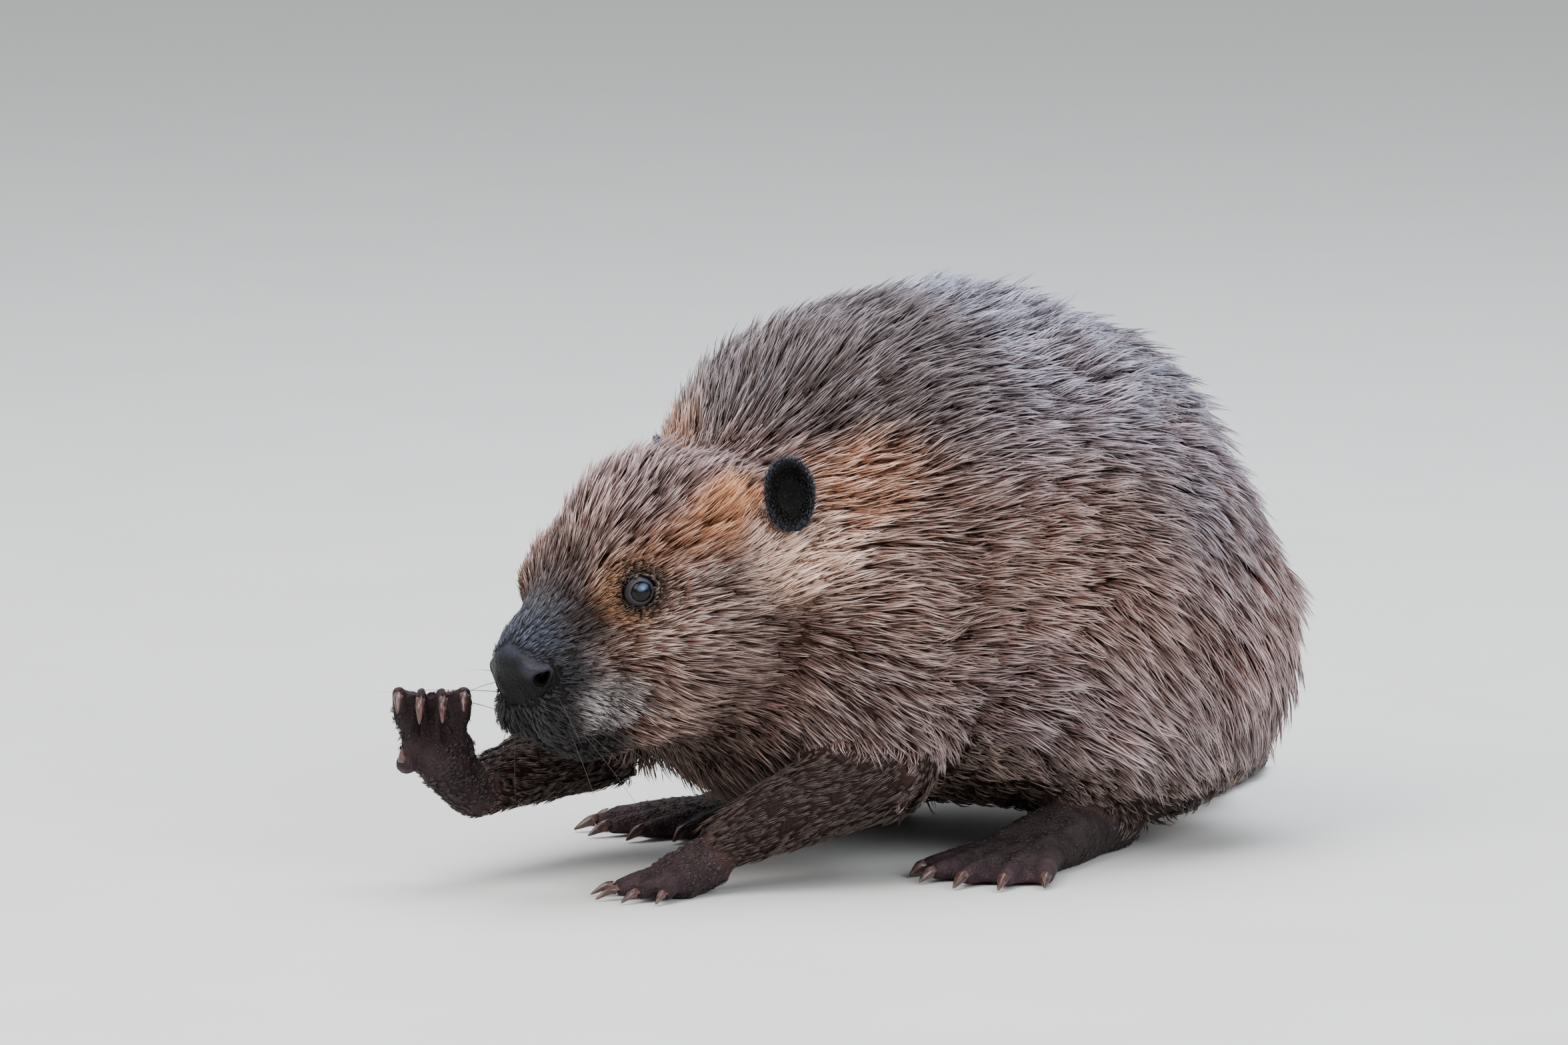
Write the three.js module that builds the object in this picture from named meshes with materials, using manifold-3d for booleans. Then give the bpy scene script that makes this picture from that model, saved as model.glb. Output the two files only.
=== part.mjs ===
// A beaver crouched on the floor, life size, in millimetres: +Z is up, it faces -Y and its left side is +X.
// The left forepaw is planted, and the right one is raised below the nose with its fingers curled.
// The flesh is one smooth distance field, which is wrapped in rings of facets and parted with thin cuts.
import * as THREE from "three";
import Module from "manifold-3d";

const wasm = await Module();
wasm.setup();

// ---------------------------------------------------------------- driving dimensions
const GAP = 0.3; // clearance between neighbouring pieces
const BACK_TOP = 270; // floor to the top of the arched back
const BARREL = { width: 270, length: 302, depth: 250, middle: 30 };
const HAUNCH = { width: 152, length: 202, depth: 182, apart: 130, middle: 77, clear: 6 };
const CHEST = { width: 196, length: 170, depth: 156, middle: -70, height: 112 };
const NOSE_TIP = [-11, -260, 106];
const HEAD = { turn: 7, drop: 18, back: 151, cutLean: 9 };
const EYE = { across: 17, apart: 75, back: 64, height: 19.5 };
const EAR = { tall: 38, wide: 26, deep: 5, thick: 3.4, apart: 108, back: 150, height: 34 };
const TAIL = { length: 236, width: 112, thick: 18, edge: 5, from: 44, to: 80 };
const WEB = 3.2; // thickness of the hind feet's webs

const rad = THREE.MathUtils.degToRad;
const point = (x, y, z) => new THREE.Vector3(x, y, z);

// ---------------------------------------------------------------- distance fields (negative inside)
const ball = ([cx, cy, cz], [rx, ry, rz]) => (x, y, z) => {
  const u = (x - cx) / rx, v = (y - cy) / ry, w = (z - cz) / rz;
  const reach = Math.sqrt(u * u + v * v + w * w);
  const slope = Math.sqrt((u / rx) ** 2 + (v / ry) ** 2 + (w / rz) ** 2);
  return slope < 1e-9 ? -Math.min(rx, ry, rz) : (reach * (reach - 1)) / slope;
};

const bone = ([ax, ay, az], [bx, by, bz], ra, rb) => {
  const dx = bx - ax, dy = by - ay, dz = bz - az;
  const square = dx * dx + dy * dy + dz * dz;
  return (x, y, z) => {
    const along = ((x - ax) * dx + (y - ay) * dy + (z - az) * dz) / square;
    const t = Math.min(1, Math.max(0, along));
    const u = x - ax - t * dx, v = y - ay - t * dy, w = z - az - t * dz;
    return Math.sqrt(u * u + v * v + w * w) - (ra + (rb - ra) * t);
  };
};

// A smooth union, whose fillets reach about as far as soft.
const melt = (soft, ...fields) => (x, y, z) => {
  let d = fields[0](x, y, z);
  for (let i = 1; i < fields.length; i++) {
    const e = fields[i](x, y, z);
    const h = Math.max(soft - Math.abs(d - e), 0) / soft;
    d = Math.min(d, e) - (h * h * soft) / 4;
  }
  return d;
};

const twin = (field) => (x, y, z) => field(Math.abs(x), y, z);
const fatter = (field, by = GAP) => (x, y, z) => field(x, y, z) - by;
const chain = (points, radii) => {
  const links = points.slice(1).map((to, i) => bone(points[i], to, radii[i], radii[i + 1]));
  return (x, y, z) => Math.min(...links.map((link) => link(x, y, z)));
};

// A field drawn in a frame of its own.
const placed = (frame, field) => {
  const m = frame.clone().invert().elements;
  return (x, y, z) => field(
    m[0] * x + m[4] * y + m[8] * z + m[12],
    m[1] * x + m[5] * y + m[9] * z + m[13],
    m[2] * x + m[6] * y + m[10] * z + m[14]);
};

// ---------------------------------------------------------------- surfaces
// Rows of points from one pole to the other, as one closed solid. The first and last rows are single points.
function solidOf(rows) {
  const rings = rows.slice(1, -1), n = rings[0].length;
  const points = rows.flat(), last = points.length - 1;
  const faces = [];
  for (let j = 0; j < n; j++) {
    const k = (j + 1) % n, end = 1 + (rings.length - 1) * n;
    faces.push(0, 1 + k, 1 + j, last, end + j, end + k);
    for (let i = 0; i + 1 < rings.length; i++) {
      const a = 1 + i * n, b = a + n;
      faces.push(a + j, a + k, b + k, a + j, b + k, b + j);
    }
  }
  const made = new wasm.Manifold(new wasm.Mesh({
    numProp: 3,
    vertProperties: new Float32Array(points.flatMap((p) => p.toArray())),
    triVerts: new Uint32Array(faces),
  }));
  if (made.volume() > 0) return made;
  for (let i = 0; i < faces.length; i += 3) [faces[i], faces[i + 1]] = [faces[i + 1], faces[i]];
  return new wasm.Manifold(new wasm.Mesh({
    numProp: 3,
    vertProperties: new Float32Array(points.flatMap((p) => p.toArray())),
    triVerts: new Uint32Array(faces),
  }));
}

// The point where a ray from inside a field leaves it.
function leaving(field, from, way) {
  const at = (t) => field(from.x + way.x * t, from.y + way.y * t, from.z + way.z * t);
  let inside = 0, outside = 0;
  for (let d = at(0); d < 0; d = at(outside)) {
    inside = outside;
    outside += Math.max(-0.7 * d, 0.15);
  }
  for (let i = 0; i < 18; i++) {
    const middle = (inside + outside) / 2;
    if (at(middle) < 0) inside = middle;
    else outside = middle;
  }
  return from.clone().addScaledVector(way, inside);
}

// Wraps a field in rings round a spine. Rays fan out at the spine's two ends, so that the ends close.
function wrap(field, spine, { rings = 6, fan = 3, sides = 16, up = [0, 0, 1] }) {
  const curve = new THREE.CatmullRomCurve3(spine.map((p) => point(...p)));
  const stations = [];
  for (let i = 1; i <= fan; i++) stations.push([0, -90 + (90 * i) / (fan + 1)]);
  for (let i = 0; i <= rings; i++) stations.push([i / rings, 0]);
  for (let i = 1; i <= fan; i++) stations.push([1, (90 * i) / (fan + 1)]);
  const rows = stations.map(([t, tilt]) => {
    const centre = curve.getPoint(t), ahead = curve.getTangent(t);
    const side = point(...up).cross(ahead).normalize(), top = ahead.clone().cross(side);
    return Array.from({ length: sides }, (_, j) => {
      const turn = (2 * Math.PI * j) / sides;
      const way = side.clone().multiplyScalar(Math.cos(turn)).addScaledVector(top, Math.sin(turn));
      way.multiplyScalar(Math.cos(rad(tilt))).addScaledVector(ahead, Math.sin(rad(tilt)));
      return leaving(field, centre, way);
    });
  });
  const pole = (t, sign) => [leaving(field, curve.getPoint(t), curve.getTangent(t).multiplyScalar(sign))];
  return solidOf([pole(0, -1), ...rows, pole(1, 1)]);
}

// A closed three.js geometry with merged corners as a solid.
function blockOf(geometry, frame) {
  const corners = new Map(), points = [], faces = [];
  const flat = (geometry.index ? geometry.toNonIndexed() : geometry).applyMatrix4(frame);
  const p = flat.getAttribute("position");
  for (let i = 0; i < p.count; i++) {
    const at = [p.getX(i), p.getY(i), p.getZ(i)], key = at.map((v) => v.toFixed(3)).join();
    if (!corners.has(key)) {
      corners.set(key, corners.size);
      points.push(...at);
    }
    faces.push(corners.get(key));
  }
  const real = faces.filter((_, i) => {
    const [a, b, c] = faces.slice(i - (i % 3), i - (i % 3) + 3);
    return a !== b && b !== c && a !== c;
  });
  return new wasm.Manifold(new wasm.Mesh({
    numProp: 3, vertProperties: new Float32Array(points), triVerts: new Uint32Array(real),
  }));
}

const largest = (solid) => solid.decompose().sort((a, b) => b.volume() - a.volume())[0];
const onFloor = (solid) => solid.trimByPlane([0, 0, 1], 0);

// ---------------------------------------------------------------- head frame
// x to its left, y back from the nose tip, z up, turned and dropped with the head.
const headFrame = new THREE.Matrix4().makeTranslation(...NOSE_TIP)
  .multiply(new THREE.Matrix4().makeRotationZ(rad(-HEAD.turn)))
  .multiply(new THREE.Matrix4().makeRotationX(rad(HEAD.drop)));
const inHead = (x, y, z) => point(x, y, z).applyMatrix4(headFrame).toArray();
const headUp = point(0, 0, 1).transformDirection(headFrame).toArray();

// ---------------------------------------------------------------- the flesh, coat included
const skull = melt(16,
  ball([0, 108, 21], [48, 50, 47]), // cranium
  twin(ball([29, 98, -10], [32, 46, 41])), // cheeks
  bone([0, 38, 0], [0, 80, 14], 21, 32), // bridge of the muzzle
  twin(ball([24, 63, 22], [16, 17, 14]))); // brows
const muzzle = melt(7,
  ball([0, 20, -5], [18.5, 16, 16.5]), // rhinarium
  ball([0, 40, -10], [27, 31, 26]),
  twin(ball([13, 25, -27], [15, 20, 16])), // whisker pads
  twin(bone([6, 28, -47], [15, 80, -41], 11, 23))); // lower jaw
const headField = placed(headFrame, melt(14, skull, muzzle));
const neckField = melt(24,
  ball([0, -42, 158], [102, 62, 98]), // withers
  bone(inHead(0, 146, 2), [2, -70, 158], 43, 74), // nape
  bone(inHead(0, 96, -24), [0, -92, 98], 38, 70)); // throat
const barrelField = ball([0, BARREL.middle, BACK_TOP - BARREL.depth / 2],
  [BARREL.width / 2, BARREL.length / 2, BARREL.depth / 2]);
const chestMiddle = [0, CHEST.middle, CHEST.height];
const chestField = ball(chestMiddle, [CHEST.width / 2, CHEST.length / 2, CHEST.depth / 2]);
const haunchMiddle = [HAUNCH.apart / 2, HAUNCH.middle, HAUNCH.clear + HAUNCH.depth / 2];
const haunchField = twin(ball(haunchMiddle, [HAUNCH.width / 2, HAUNCH.length / 2, HAUNCH.depth / 2]));
const tailRoot = [-3, 186, 40], bladeRoot = [-20, 220, 17];
const rumpField = melt(20, ball([0, 122, 92], [90, 72, 84]), bone([0, 130, 78], tailRoot, 62, 30));
const legs = {
  left: { shoulder: [62, -88, 118], elbow: [84, -98, 56], wrist: [46, -176, 21] },
  right: { shoulder: [-62, -88, 118], elbow: [-82, -116, 58], wrist: [-62, -224, 42] },
};
const shoulderField = melt(20,
  bone(legs.left.shoulder, legs.left.elbow, 44, 27),
  bone(legs.right.shoulder, legs.right.elbow, 44, 27));
const torsoField = melt(28, barrelField, chestField, neckField);
const bodyField = melt(22, torsoField, haunchField, rumpField, shoulderField);
const fleshField = melt(16, bodyField, headField);

// ---------------------------------------------------------------- thin cuts
const headCut = point(0, 1, 0).applyAxisAngle(point(1, 0, 0), -rad(HEAD.cutLean));
const headOffset = headCut.dot(point(...inHead(0, HEAD.back, 30)));
const neckCut = { at: point(0, -66, 150), normal: point(0, 0.9, -0.436).normalize() };
const neckOffset = neckCut.at.dot(neckCut.normal);
const haunchKnife = (side, grow) => wrap(
  ball([side * 108, 74, 88], [66 + grow, 100 + grow, 90 + grow]),
  [[side * 108, 60, 88], [side * 108, 100, 88]], { rings: 2, fan: 3, sides: 18 });

// ---------------------------------------------------------------- eyes and ears
const eyeAt = (side) => inHead((side * EYE.apart) / 2, EYE.back, EYE.height);
const eyeField = (side) => ball(eyeAt(side), [EYE.across / 2, EYE.across / 2, EYE.across / 2]);
const eyeSpine = (side) => [-1, 1].map((end) => {
  const [x, y, z] = eyeAt(side);
  return [x, y + end, z];
});
const eyeSolid = (side, grow) =>
  wrap(fatter(eyeField(side), grow), eyeSpine(side), { rings: 1, fan: 2, sides: 10 });

// A cupped disc that opens forwards and outwards, with its foot sunk in the head.
function earSolid(side) {
  const facing = point(0.74 * side, -0.62, 0.26).normalize();
  const along = point(-0.02 * side, 0.2, 1).addScaledVector(facing, -0.2).normalize();
  const across = along.clone().cross(facing).normalize();
  const middle = point((side * EAR.apart) / 2, EAR.back, EAR.height);
  const corners = 14;
  const row = (share, depth) => Array.from({ length: corners }, (_, j) => {
    const turn = (2 * Math.PI * j) / corners, narrow = 1 - 0.16 * Math.max(0, -Math.sin(turn));
    return middle.clone()
      .addScaledVector(across, (share * narrow * EAR.wide * Math.cos(turn)) / 2)
      .addScaledVector(along, (share * EAR.tall * Math.sin(turn)) / 2)
      .addScaledVector(facing, depth).applyMatrix4(headFrame);
  });
  const hollow = (share) => -EAR.deep * (1 - share * share);
  const centre = (depth) => [middle.clone().addScaledVector(facing, depth).applyMatrix4(headFrame)];
  const shares = [0.35, 0.65, 0.88];
  return solidOf([
    centre(hollow(0)),
    ...shares.map((s) => row(s, hollow(s))),
    row(1, -0.2),
    ...shares.toReversed().map((s) => row(s + 0.03, hollow(s) - EAR.thick)),
    centre(hollow(0) - EAR.thick)]);
}

// ---------------------------------------------------------------- legs, hands and feet
const forelegField = ({ elbow, wrist }) => bone(elbow, wrist, 26, 12.5);

// A digit and its claw, from points along each. The claw starts inside the digit's tip.
function digit(path, radii, clawPath, clawRadii) {
  const field = chain(path, radii), detail = { rings: 2, fan: 1, sides: 5 };
  const flesh = wrap(field, path, detail);
  const claw = wrap(chain(clawPath, clawRadii), clawPath, { rings: 2, fan: 0, sides: 5 });
  return { flesh, claw: largest(claw.subtract(wrap(fatter(field), path, detail))) };
}

// The planted forepaw: palm down, digits spread ahead, claws down to the floor.
function plantedHand(wrist, heading) {
  const frame = new THREE.Matrix4().makeTranslation(wrist[0], wrist[1], 0)
    .multiply(new THREE.Matrix4().makeRotationZ(rad(heading)));
  const at = (across, ahead, up) => point(across, -ahead, up).applyMatrix4(frame).toArray();
  const palmField = melt(6,
    bone(at(0, 0, 15), at(0, 16, 9), 12.5, 11),
    bone(at(-9, 20, 7), at(9, 20, 7), 8.5, 8.5));
  const palm = wrap(palmField, [at(0, 2, 13), at(0, 18, 8)], { rings: 3, fan: 2, sides: 10 });
  const spread = [[-44, 11, 8], [-19, 21, 13], [-2, 24, 14], [15, 22, 13], [34, 17, 11]];
  const digits = spread.map(([splay, long, nail]) => {
    const way = [Math.sin(rad(splay)), Math.cos(rad(splay))];
    const root = [14 * Math.sin(rad(splay * 1.35)), 15 + 7 * Math.cos(rad(splay))];
    const on = (far, up) => at(root[0] + way[0] * far, root[1] + way[1] * far, up);
    return digit([on(0, 7.5), on(long * 0.55, 8.2), on(long, 4.6)], [5.2, 4.4, 3.8],
      [on(long - 1, 5), on(long + nail * 0.5, 5.4), on(long + nail, 1.4)], [2.8, 2.3, 0.7]);
  });
  return { palm, digits };
}

// The raised forepaw: its fingers curl over an open grip whose axis runs from its left to its right.
function curledHand(wrist) {
  const grip = { middle: point(-60, -254, 75), radius: 11.5 };
  const axis = point(0.7071, 0.7071, 0), near = point(0.7071, -0.7071, 0), top = point(0, 0, 1);
  const on = (shift, angle, out) => grip.middle.clone().addScaledVector(axis, shift)
    .addScaledVector(near, out * Math.cos(rad(angle)))
    .addScaledVector(top, out * Math.sin(rad(angle))).toArray();
  const out = grip.radius + 5.2;
  const palmField = melt(7,
    bone(wrist, on(2, 238, out + 4), 12.5, 11),
    bone(on(-9, 214, out + 2), on(13, 214, out + 2), 8, 8),
    bone(on(-10, 166, out), on(11, 166, out), 6.6, 6.6));
  const palm = wrap(palmField, [wrist, on(2, 232, out + 4), on(0.5, 176, out + 1)],
    { rings: 5, fan: 2, sides: 10, up: axis.toArray() });
  const knuckle = 168; // degrees round the grip, from its near side over the top
  const reach = [[-13.5, 80, 52], [-4.4, 92, 60], [4.8, 90, 60], [13.6, 78, 50]];
  const digits = reach.map(([shift, sweep, nail]) => {
    const lean = (angle) => shift * (1 + 0.0018 * (knuckle - angle));
    const tip = knuckle - sweep;
    const path = [knuckle, knuckle - sweep * 0.52, tip].map((angle) => on(lean(angle), angle, out));
    const clawPath = [[4, 0], [-nail * 0.55, 0.8], [-nail, -1.4]].map(([further, away]) =>
      on(lean(tip), tip + further, out + away));
    return digit(path, [5.4, 4.6, 3.6], clawPath, [2.7, 2.4, 0.8]);
  });
  // The small inner digit closes the grip from below.
  digits.push(digit([on(-8, 236, out + 2), on(-12, 268, out + 1), on(-13, 292, out)], [5.6, 5, 4.2],
    [on(-13, 288, out), on(-13.5, 310, out), on(-13.5, 324, out - 2)], [3, 2.3, 0.8]));
  return { palm, digits };
}

// The hind foot: sole flat on the floor, five webbed toes ahead of the ball.
const heel = [74, 66], ballOfFoot = [100, -22];
function hindFoot(side) {
  const heading = Math.atan2(ballOfFoot[0] - heel[0], heel[1] - ballOfFoot[1]);
  const at = (across, ahead, up) => {
    const x = ballOfFoot[0] + ahead * Math.sin(heading) + across * Math.cos(heading);
    const y = ballOfFoot[1] - ahead * Math.cos(heading) + across * Math.sin(heading);
    return [side * x, y, up];
  };
  const soleField = melt(12,
    bone([side * heel[0], heel[1], 15], at(0, -30, 11), 17, 15),
    bone(at(-9, -26, 10), at(-14, 0, 8), 11, 10),
    bone(at(9, -26, 10), at(14, 0, 8), 11, 10));
  let flesh = wrap(soleField, [[side * heel[0], heel[1], 14], at(0, -4, 9)], { rings: 3, fan: 2, sides: 10 });
  const claws = [];
  const toes = [[-25, 44, 11], [-12, 56, 13], [1, 62, 14], [13, 60, 14], [26, 50, 12]];
  const tips = toes.map(([splay, long, nail]) => {
    const root = 15 * Math.sin(rad(splay * 2.1));
    const on = (far, up) => at(root + far * Math.sin(rad(splay)), -4 + far * Math.cos(rad(splay)), up);
    const toe = digit([on(0, 8), on(long * 0.5, 8), on(long, 5.2)], [8, 6.2, 4.8],
      [on(long - 1, 6), on(long + nail * 0.5, 5.6), on(long + nail, 1.6)], [3.7, 3.1, 0.9]);
    flesh = flesh.add(toe.flesh);
    claws.push(toe.claw);
    return [root + long * 0.93 * Math.sin(rad(splay)), -4 + long * 0.93 * Math.cos(rad(splay))];
  });
  const web = new THREE.Shape().moveTo(-16, -6);
  web.lineTo(...tips[0]);
  for (let i = 1; i < tips.length; i++) {
    const [x, y] = [0, 1].map((k) => 0.5 * (tips[i - 1][k] + tips[i][k]) * (k ? 0.86 : 0.97));
    web.quadraticCurveTo(x, y, ...tips[i]);
  }
  web.lineTo(16, -6);
  const sheet = new THREE.ExtrudeGeometry(web, { depth: WEB, bevelEnabled: false, curveSegments: 2 });
  const place = new THREE.Matrix4().makeBasis(
    point(side * Math.cos(heading), Math.sin(heading), 0),
    point(side * Math.sin(heading), -Math.cos(heading), 0),
    point(0, 0, -side)).setPosition(side * ballOfFoot[0], ballOfFoot[1], 1.4 + (side > 0 ? WEB : 0));
  return { flesh: flesh.add(blockOf(sheet, place)), claws };
}

// ---------------------------------------------------------------- tail: a furred root and a flat scaly blade
const tailBone = chain([[0, 150, 62], tailRoot, bladeRoot], [40, 31, 18]);
function tailBlade() {
  const swing = (t) => rad(TAIL.from + (TAIL.to - TAIL.from) * t), steps = 10, corners = 12;
  const centre = point(bladeRoot[0] + 4, bladeRoot[1] - 6, 0);
  const rows = [];
  for (let i = 0; i <= steps; i++) {
    const t = i / steps, heading = swing(t);
    const half = (TAIL.width / 2) * (0.3 + 0.7 * THREE.MathUtils.smoothstep(t, -0.06, 0.5))
      * Math.sqrt(Math.max(0.02, 1 - Math.max(0, (t - 0.66) / 0.34) ** 2.4));
    const thick = TAIL.edge + (TAIL.thick - TAIL.edge) * (1 - t) ** 1.3;
    const side = point(Math.cos(heading), Math.sin(heading), 0);
    rows.push(Array.from({ length: corners }, (_, j) => {
      const turn = (2 * Math.PI * j) / corners;
      const flat = Math.sign(Math.cos(turn)) * Math.abs(Math.cos(turn)) ** 0.9;
      return centre.clone().addScaledVector(side, half * flat)
        .add(point(0, 0, thick * (0.45 + 0.58 * Math.sin(turn))));
    }));
    centre.add(point(-Math.sin(heading), Math.cos(heading), 0).multiplyScalar(TAIL.length / steps));
  }
  const middle = (row) => [row.reduce((sum, p) => sum.add(p), point(0, 0, 0)).multiplyScalar(1 / row.length)];
  return solidOf([middle(rows[0]), ...rows, middle(rows.at(-1))]);
}

// ---------------------------------------------------------------- the finish of each kind of piece
const finish = (color, roughness) => new THREE.MeshStandardMaterial({ color, roughness, metalness: 0 });
const coat = finish(0x6b4a38, 0.75), bare = finish(0x2c2624, 0.55), nosePad = finish(0x1b1a1c, 0.5);
const horn = finish(0x5a4138, 0.4), eyeGloss = finish(0x17120f, 0.08), scaly = finish(0x35302d, 0.6);
const earSkin = finish(0x191716, 0.75);

const beaver = new THREE.Group();
function add(name, solid, material) {
  const mesh = largest(onFloor(solid)).getMesh();
  const geometry = new THREE.BufferGeometry()
    .setAttribute("position", new THREE.BufferAttribute(new Float32Array(mesh.vertProperties), 3))
    .setIndex(new THREE.BufferAttribute(new Uint32Array(mesh.triVerts), 1));
  geometry.computeVertexNormals();
  const made = new THREE.Mesh(geometry, material.clone());
  made.name = name;
  beaver.add(made);
}

// ---------------------------------------------------------------- head, nose, eyes and ears
const frontSpine = [inHead(0, 22, -12), inHead(0, 60, -6), inHead(0, 112, -6), [1, -104, 132], [0, -50, 138]];
const frontDetail = { rings: 20, fan: 4, sides: 24, up: headUp };
const front = wrap(fleshField, frontSpine, frontDetail);
const wholeHead = front.trimByPlane(headCut.clone().negate().toArray(), -headOffset + GAP / 2);
const noseKnife = (grow) => wrap(
  placed(headFrame, ball([0, 6, -6], [26 + grow, 24 + grow, 17 + grow])),
  [inHead(0, 1, -6), inHead(0, 3, -6)], { rings: 1, fan: 2, sides: 14 });
const eyeSockets = [-1, 1].map((side) => eyeSolid(side, GAP));
const headSolid = [noseKnife(GAP), ...eyeSockets].reduce((rest, cut) => rest.subtract(cut), wholeHead);
add("head", headSolid, coat);
add("nose", wholeHead.intersect(noseKnife(0)), nosePad);
const frontBulk = wrap(fatter(fleshField), frontSpine, frontDetail);
for (const [name, side] of [["left", 1], ["right", -1]]) {
  add(`eye_${name}`, eyeSolid(side, 0), eyeGloss);
  add(`ear_${name}`, earSolid(side).subtract(frontBulk), earSkin);
}

// ---------------------------------------------------------------- neck and trunk
const beforeTrunk = [neckCut.normal.clone().negate().toArray(), -neckOffset + GAP / 2];
add("neck", front.trimByPlane(...beforeTrunk).trimByPlane(headCut.toArray(), headOffset + GAP / 2), coat);
const trunkSpine = [[0, -60, 128], [0, 30, 140], [0, 100, 112]];
const trunkDetail = { rings: 4, fan: 3, sides: 22 };
const trunkWhole = (grow) => wrap(fatter(bodyField, grow), trunkSpine, trunkDetail);
const tailSpine = [[0, 160, 56], tailRoot, bladeRoot], tailDetail = { rings: 4, fan: 1, sides: 16 };
const tailBase = wrap(tailBone, tailSpine, tailDetail);
const trunk = trunkWhole(0).trimByPlane(neckCut.normal.toArray(), neckOffset + GAP / 2);
add("trunk", [1, -1].reduce((rest, side) => rest.subtract(haunchKnife(side, GAP)), trunk), coat);
const bodyBulk = trunkWhole(GAP).add(frontBulk);

// ---------------------------------------------------------------- legs and feet
const hindDetail = { rings: 2, fan: 3, sides: 16 };
const hindSpine = (side) => [[side * 92, 60, 96], [side * 92, 104, 96]];
for (const [name, side] of [["left", 1], ["right", -1]]) {
  add(`hind_leg_${name}`, wrap(bodyField, hindSpine(side), hindDetail).intersect(haunchKnife(side, 0)), coat);
  const foot = hindFoot(side);
  const bulk = wrap(fatter(bodyField), hindSpine(side), hindDetail).add(bodyBulk);
  add(`hind_foot_${name}`, foot.flesh.subtract(bulk), bare);
  foot.claws.forEach((claw, i) => add(`hind_claw_${name}_${i + 1}`, claw, horn));

  const leg = legs[name], legField = forelegField(leg);
  const legSpine = [leg.elbow, leg.wrist], legDetail = { rings: 4, fan: 2, sides: 13 };
  const hand = side > 0 ? plantedHand(leg.wrist, -14) : curledHand(leg.wrist);
  const paw = hand.digits.reduce((sum, d) => sum.add(d.flesh), hand.palm);
  const wristCut = point(...leg.wrist).sub(point(...leg.elbow)).normalize();
  const wristOffset = wristCut.dot(point(...leg.wrist)) - 4;
  const arm = wrap(legField, legSpine, legDetail).subtract(bodyBulk)
    .trimByPlane(wristCut.clone().negate().toArray(), -wristOffset + GAP / 2);
  add(`foreleg_${name}`, arm, coat);
  add(`forepaw_${name}`, paw.trimByPlane(wristCut.toArray(), wristOffset + GAP / 2), bare);
  hand.digits.forEach((d, i) => add(`fore_claw_${name}_${i + 1}`, d.claw, horn));
}

// ---------------------------------------------------------------- tail
const hindBulk = [1, -1].map((side) => wrap(fatter(bodyField), hindSpine(side), hindDetail));
add("tail_root", tailBase.subtract(bodyBulk.add(hindBulk[0]).add(hindBulk[1])), coat);
const tailBulk = wrap(fatter(tailBone), tailSpine, tailDetail);
add("tail_blade", tailBlade().subtract(tailBulk).subtract(bodyBulk), scaly);

// The origin is on the floor, below the middle of the whole animal.
const bounds = new THREE.Box3().setFromObject(beaver, true);
beaver.position.set(-(bounds.min.x + bounds.max.x) / 2, -(bounds.min.y + bounds.max.y) / 2, -bounds.min.z);

export default beaver;
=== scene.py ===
# A beaver at life size: one skin, a coat of solid locks over it, a scaled tail, eyes, claws and whiskers.
import math
import bmesh
import bpy
import numpy as np
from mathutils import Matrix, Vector
from mathutils.bvhtree import BVHTree


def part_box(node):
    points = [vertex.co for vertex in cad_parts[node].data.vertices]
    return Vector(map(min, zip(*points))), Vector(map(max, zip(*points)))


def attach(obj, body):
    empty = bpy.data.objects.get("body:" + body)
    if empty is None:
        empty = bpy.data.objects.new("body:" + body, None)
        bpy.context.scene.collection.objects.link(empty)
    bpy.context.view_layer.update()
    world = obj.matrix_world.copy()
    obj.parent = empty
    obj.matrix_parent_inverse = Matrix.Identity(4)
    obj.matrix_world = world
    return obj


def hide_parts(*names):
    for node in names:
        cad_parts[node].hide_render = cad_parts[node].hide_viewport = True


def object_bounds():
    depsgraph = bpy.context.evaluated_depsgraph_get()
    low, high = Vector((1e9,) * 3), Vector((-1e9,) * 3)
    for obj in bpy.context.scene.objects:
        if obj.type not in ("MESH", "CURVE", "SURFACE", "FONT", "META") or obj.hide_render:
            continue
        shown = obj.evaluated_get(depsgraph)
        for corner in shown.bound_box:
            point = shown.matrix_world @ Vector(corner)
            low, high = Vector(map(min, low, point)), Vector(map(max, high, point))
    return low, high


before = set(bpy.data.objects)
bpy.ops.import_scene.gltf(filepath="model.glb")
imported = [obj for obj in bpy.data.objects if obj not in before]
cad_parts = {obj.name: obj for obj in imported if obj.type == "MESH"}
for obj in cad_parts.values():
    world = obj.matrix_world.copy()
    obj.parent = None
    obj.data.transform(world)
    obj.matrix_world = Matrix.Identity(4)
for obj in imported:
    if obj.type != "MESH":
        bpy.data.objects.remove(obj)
cadLow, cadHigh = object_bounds()
mm = 0.001
floorGap = 0.2 * mm  # nothing on the animal is lower
weldReach = 0.01 * mm  # points closer than this are one
scene = bpy.context.scene
print("frame loaded:", len(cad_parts), "nodes")


def middle(node):
    low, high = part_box(node)
    return np.array((low + high) / 2)


def unit(vectors):
    return vectors / np.maximum(np.linalg.norm(vectors, axis=-1, keepdims=True), 1e-12)


def smooth(values, low, high):  # 0 at low, 1 at high, eased at both ends; low may be the larger
    t = np.clip((values - low) / (high - low), 0, 1)
    return t * t * (3 - 2 * t)


def hue(red, green, blue):  # a colour from its everyday 0 to 255 values
    share = np.array((red, green, blue)) / 255
    return np.where(share > 0.04, ((share + 0.055) / 1.055) ** 2.4, share / 12.92)


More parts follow.
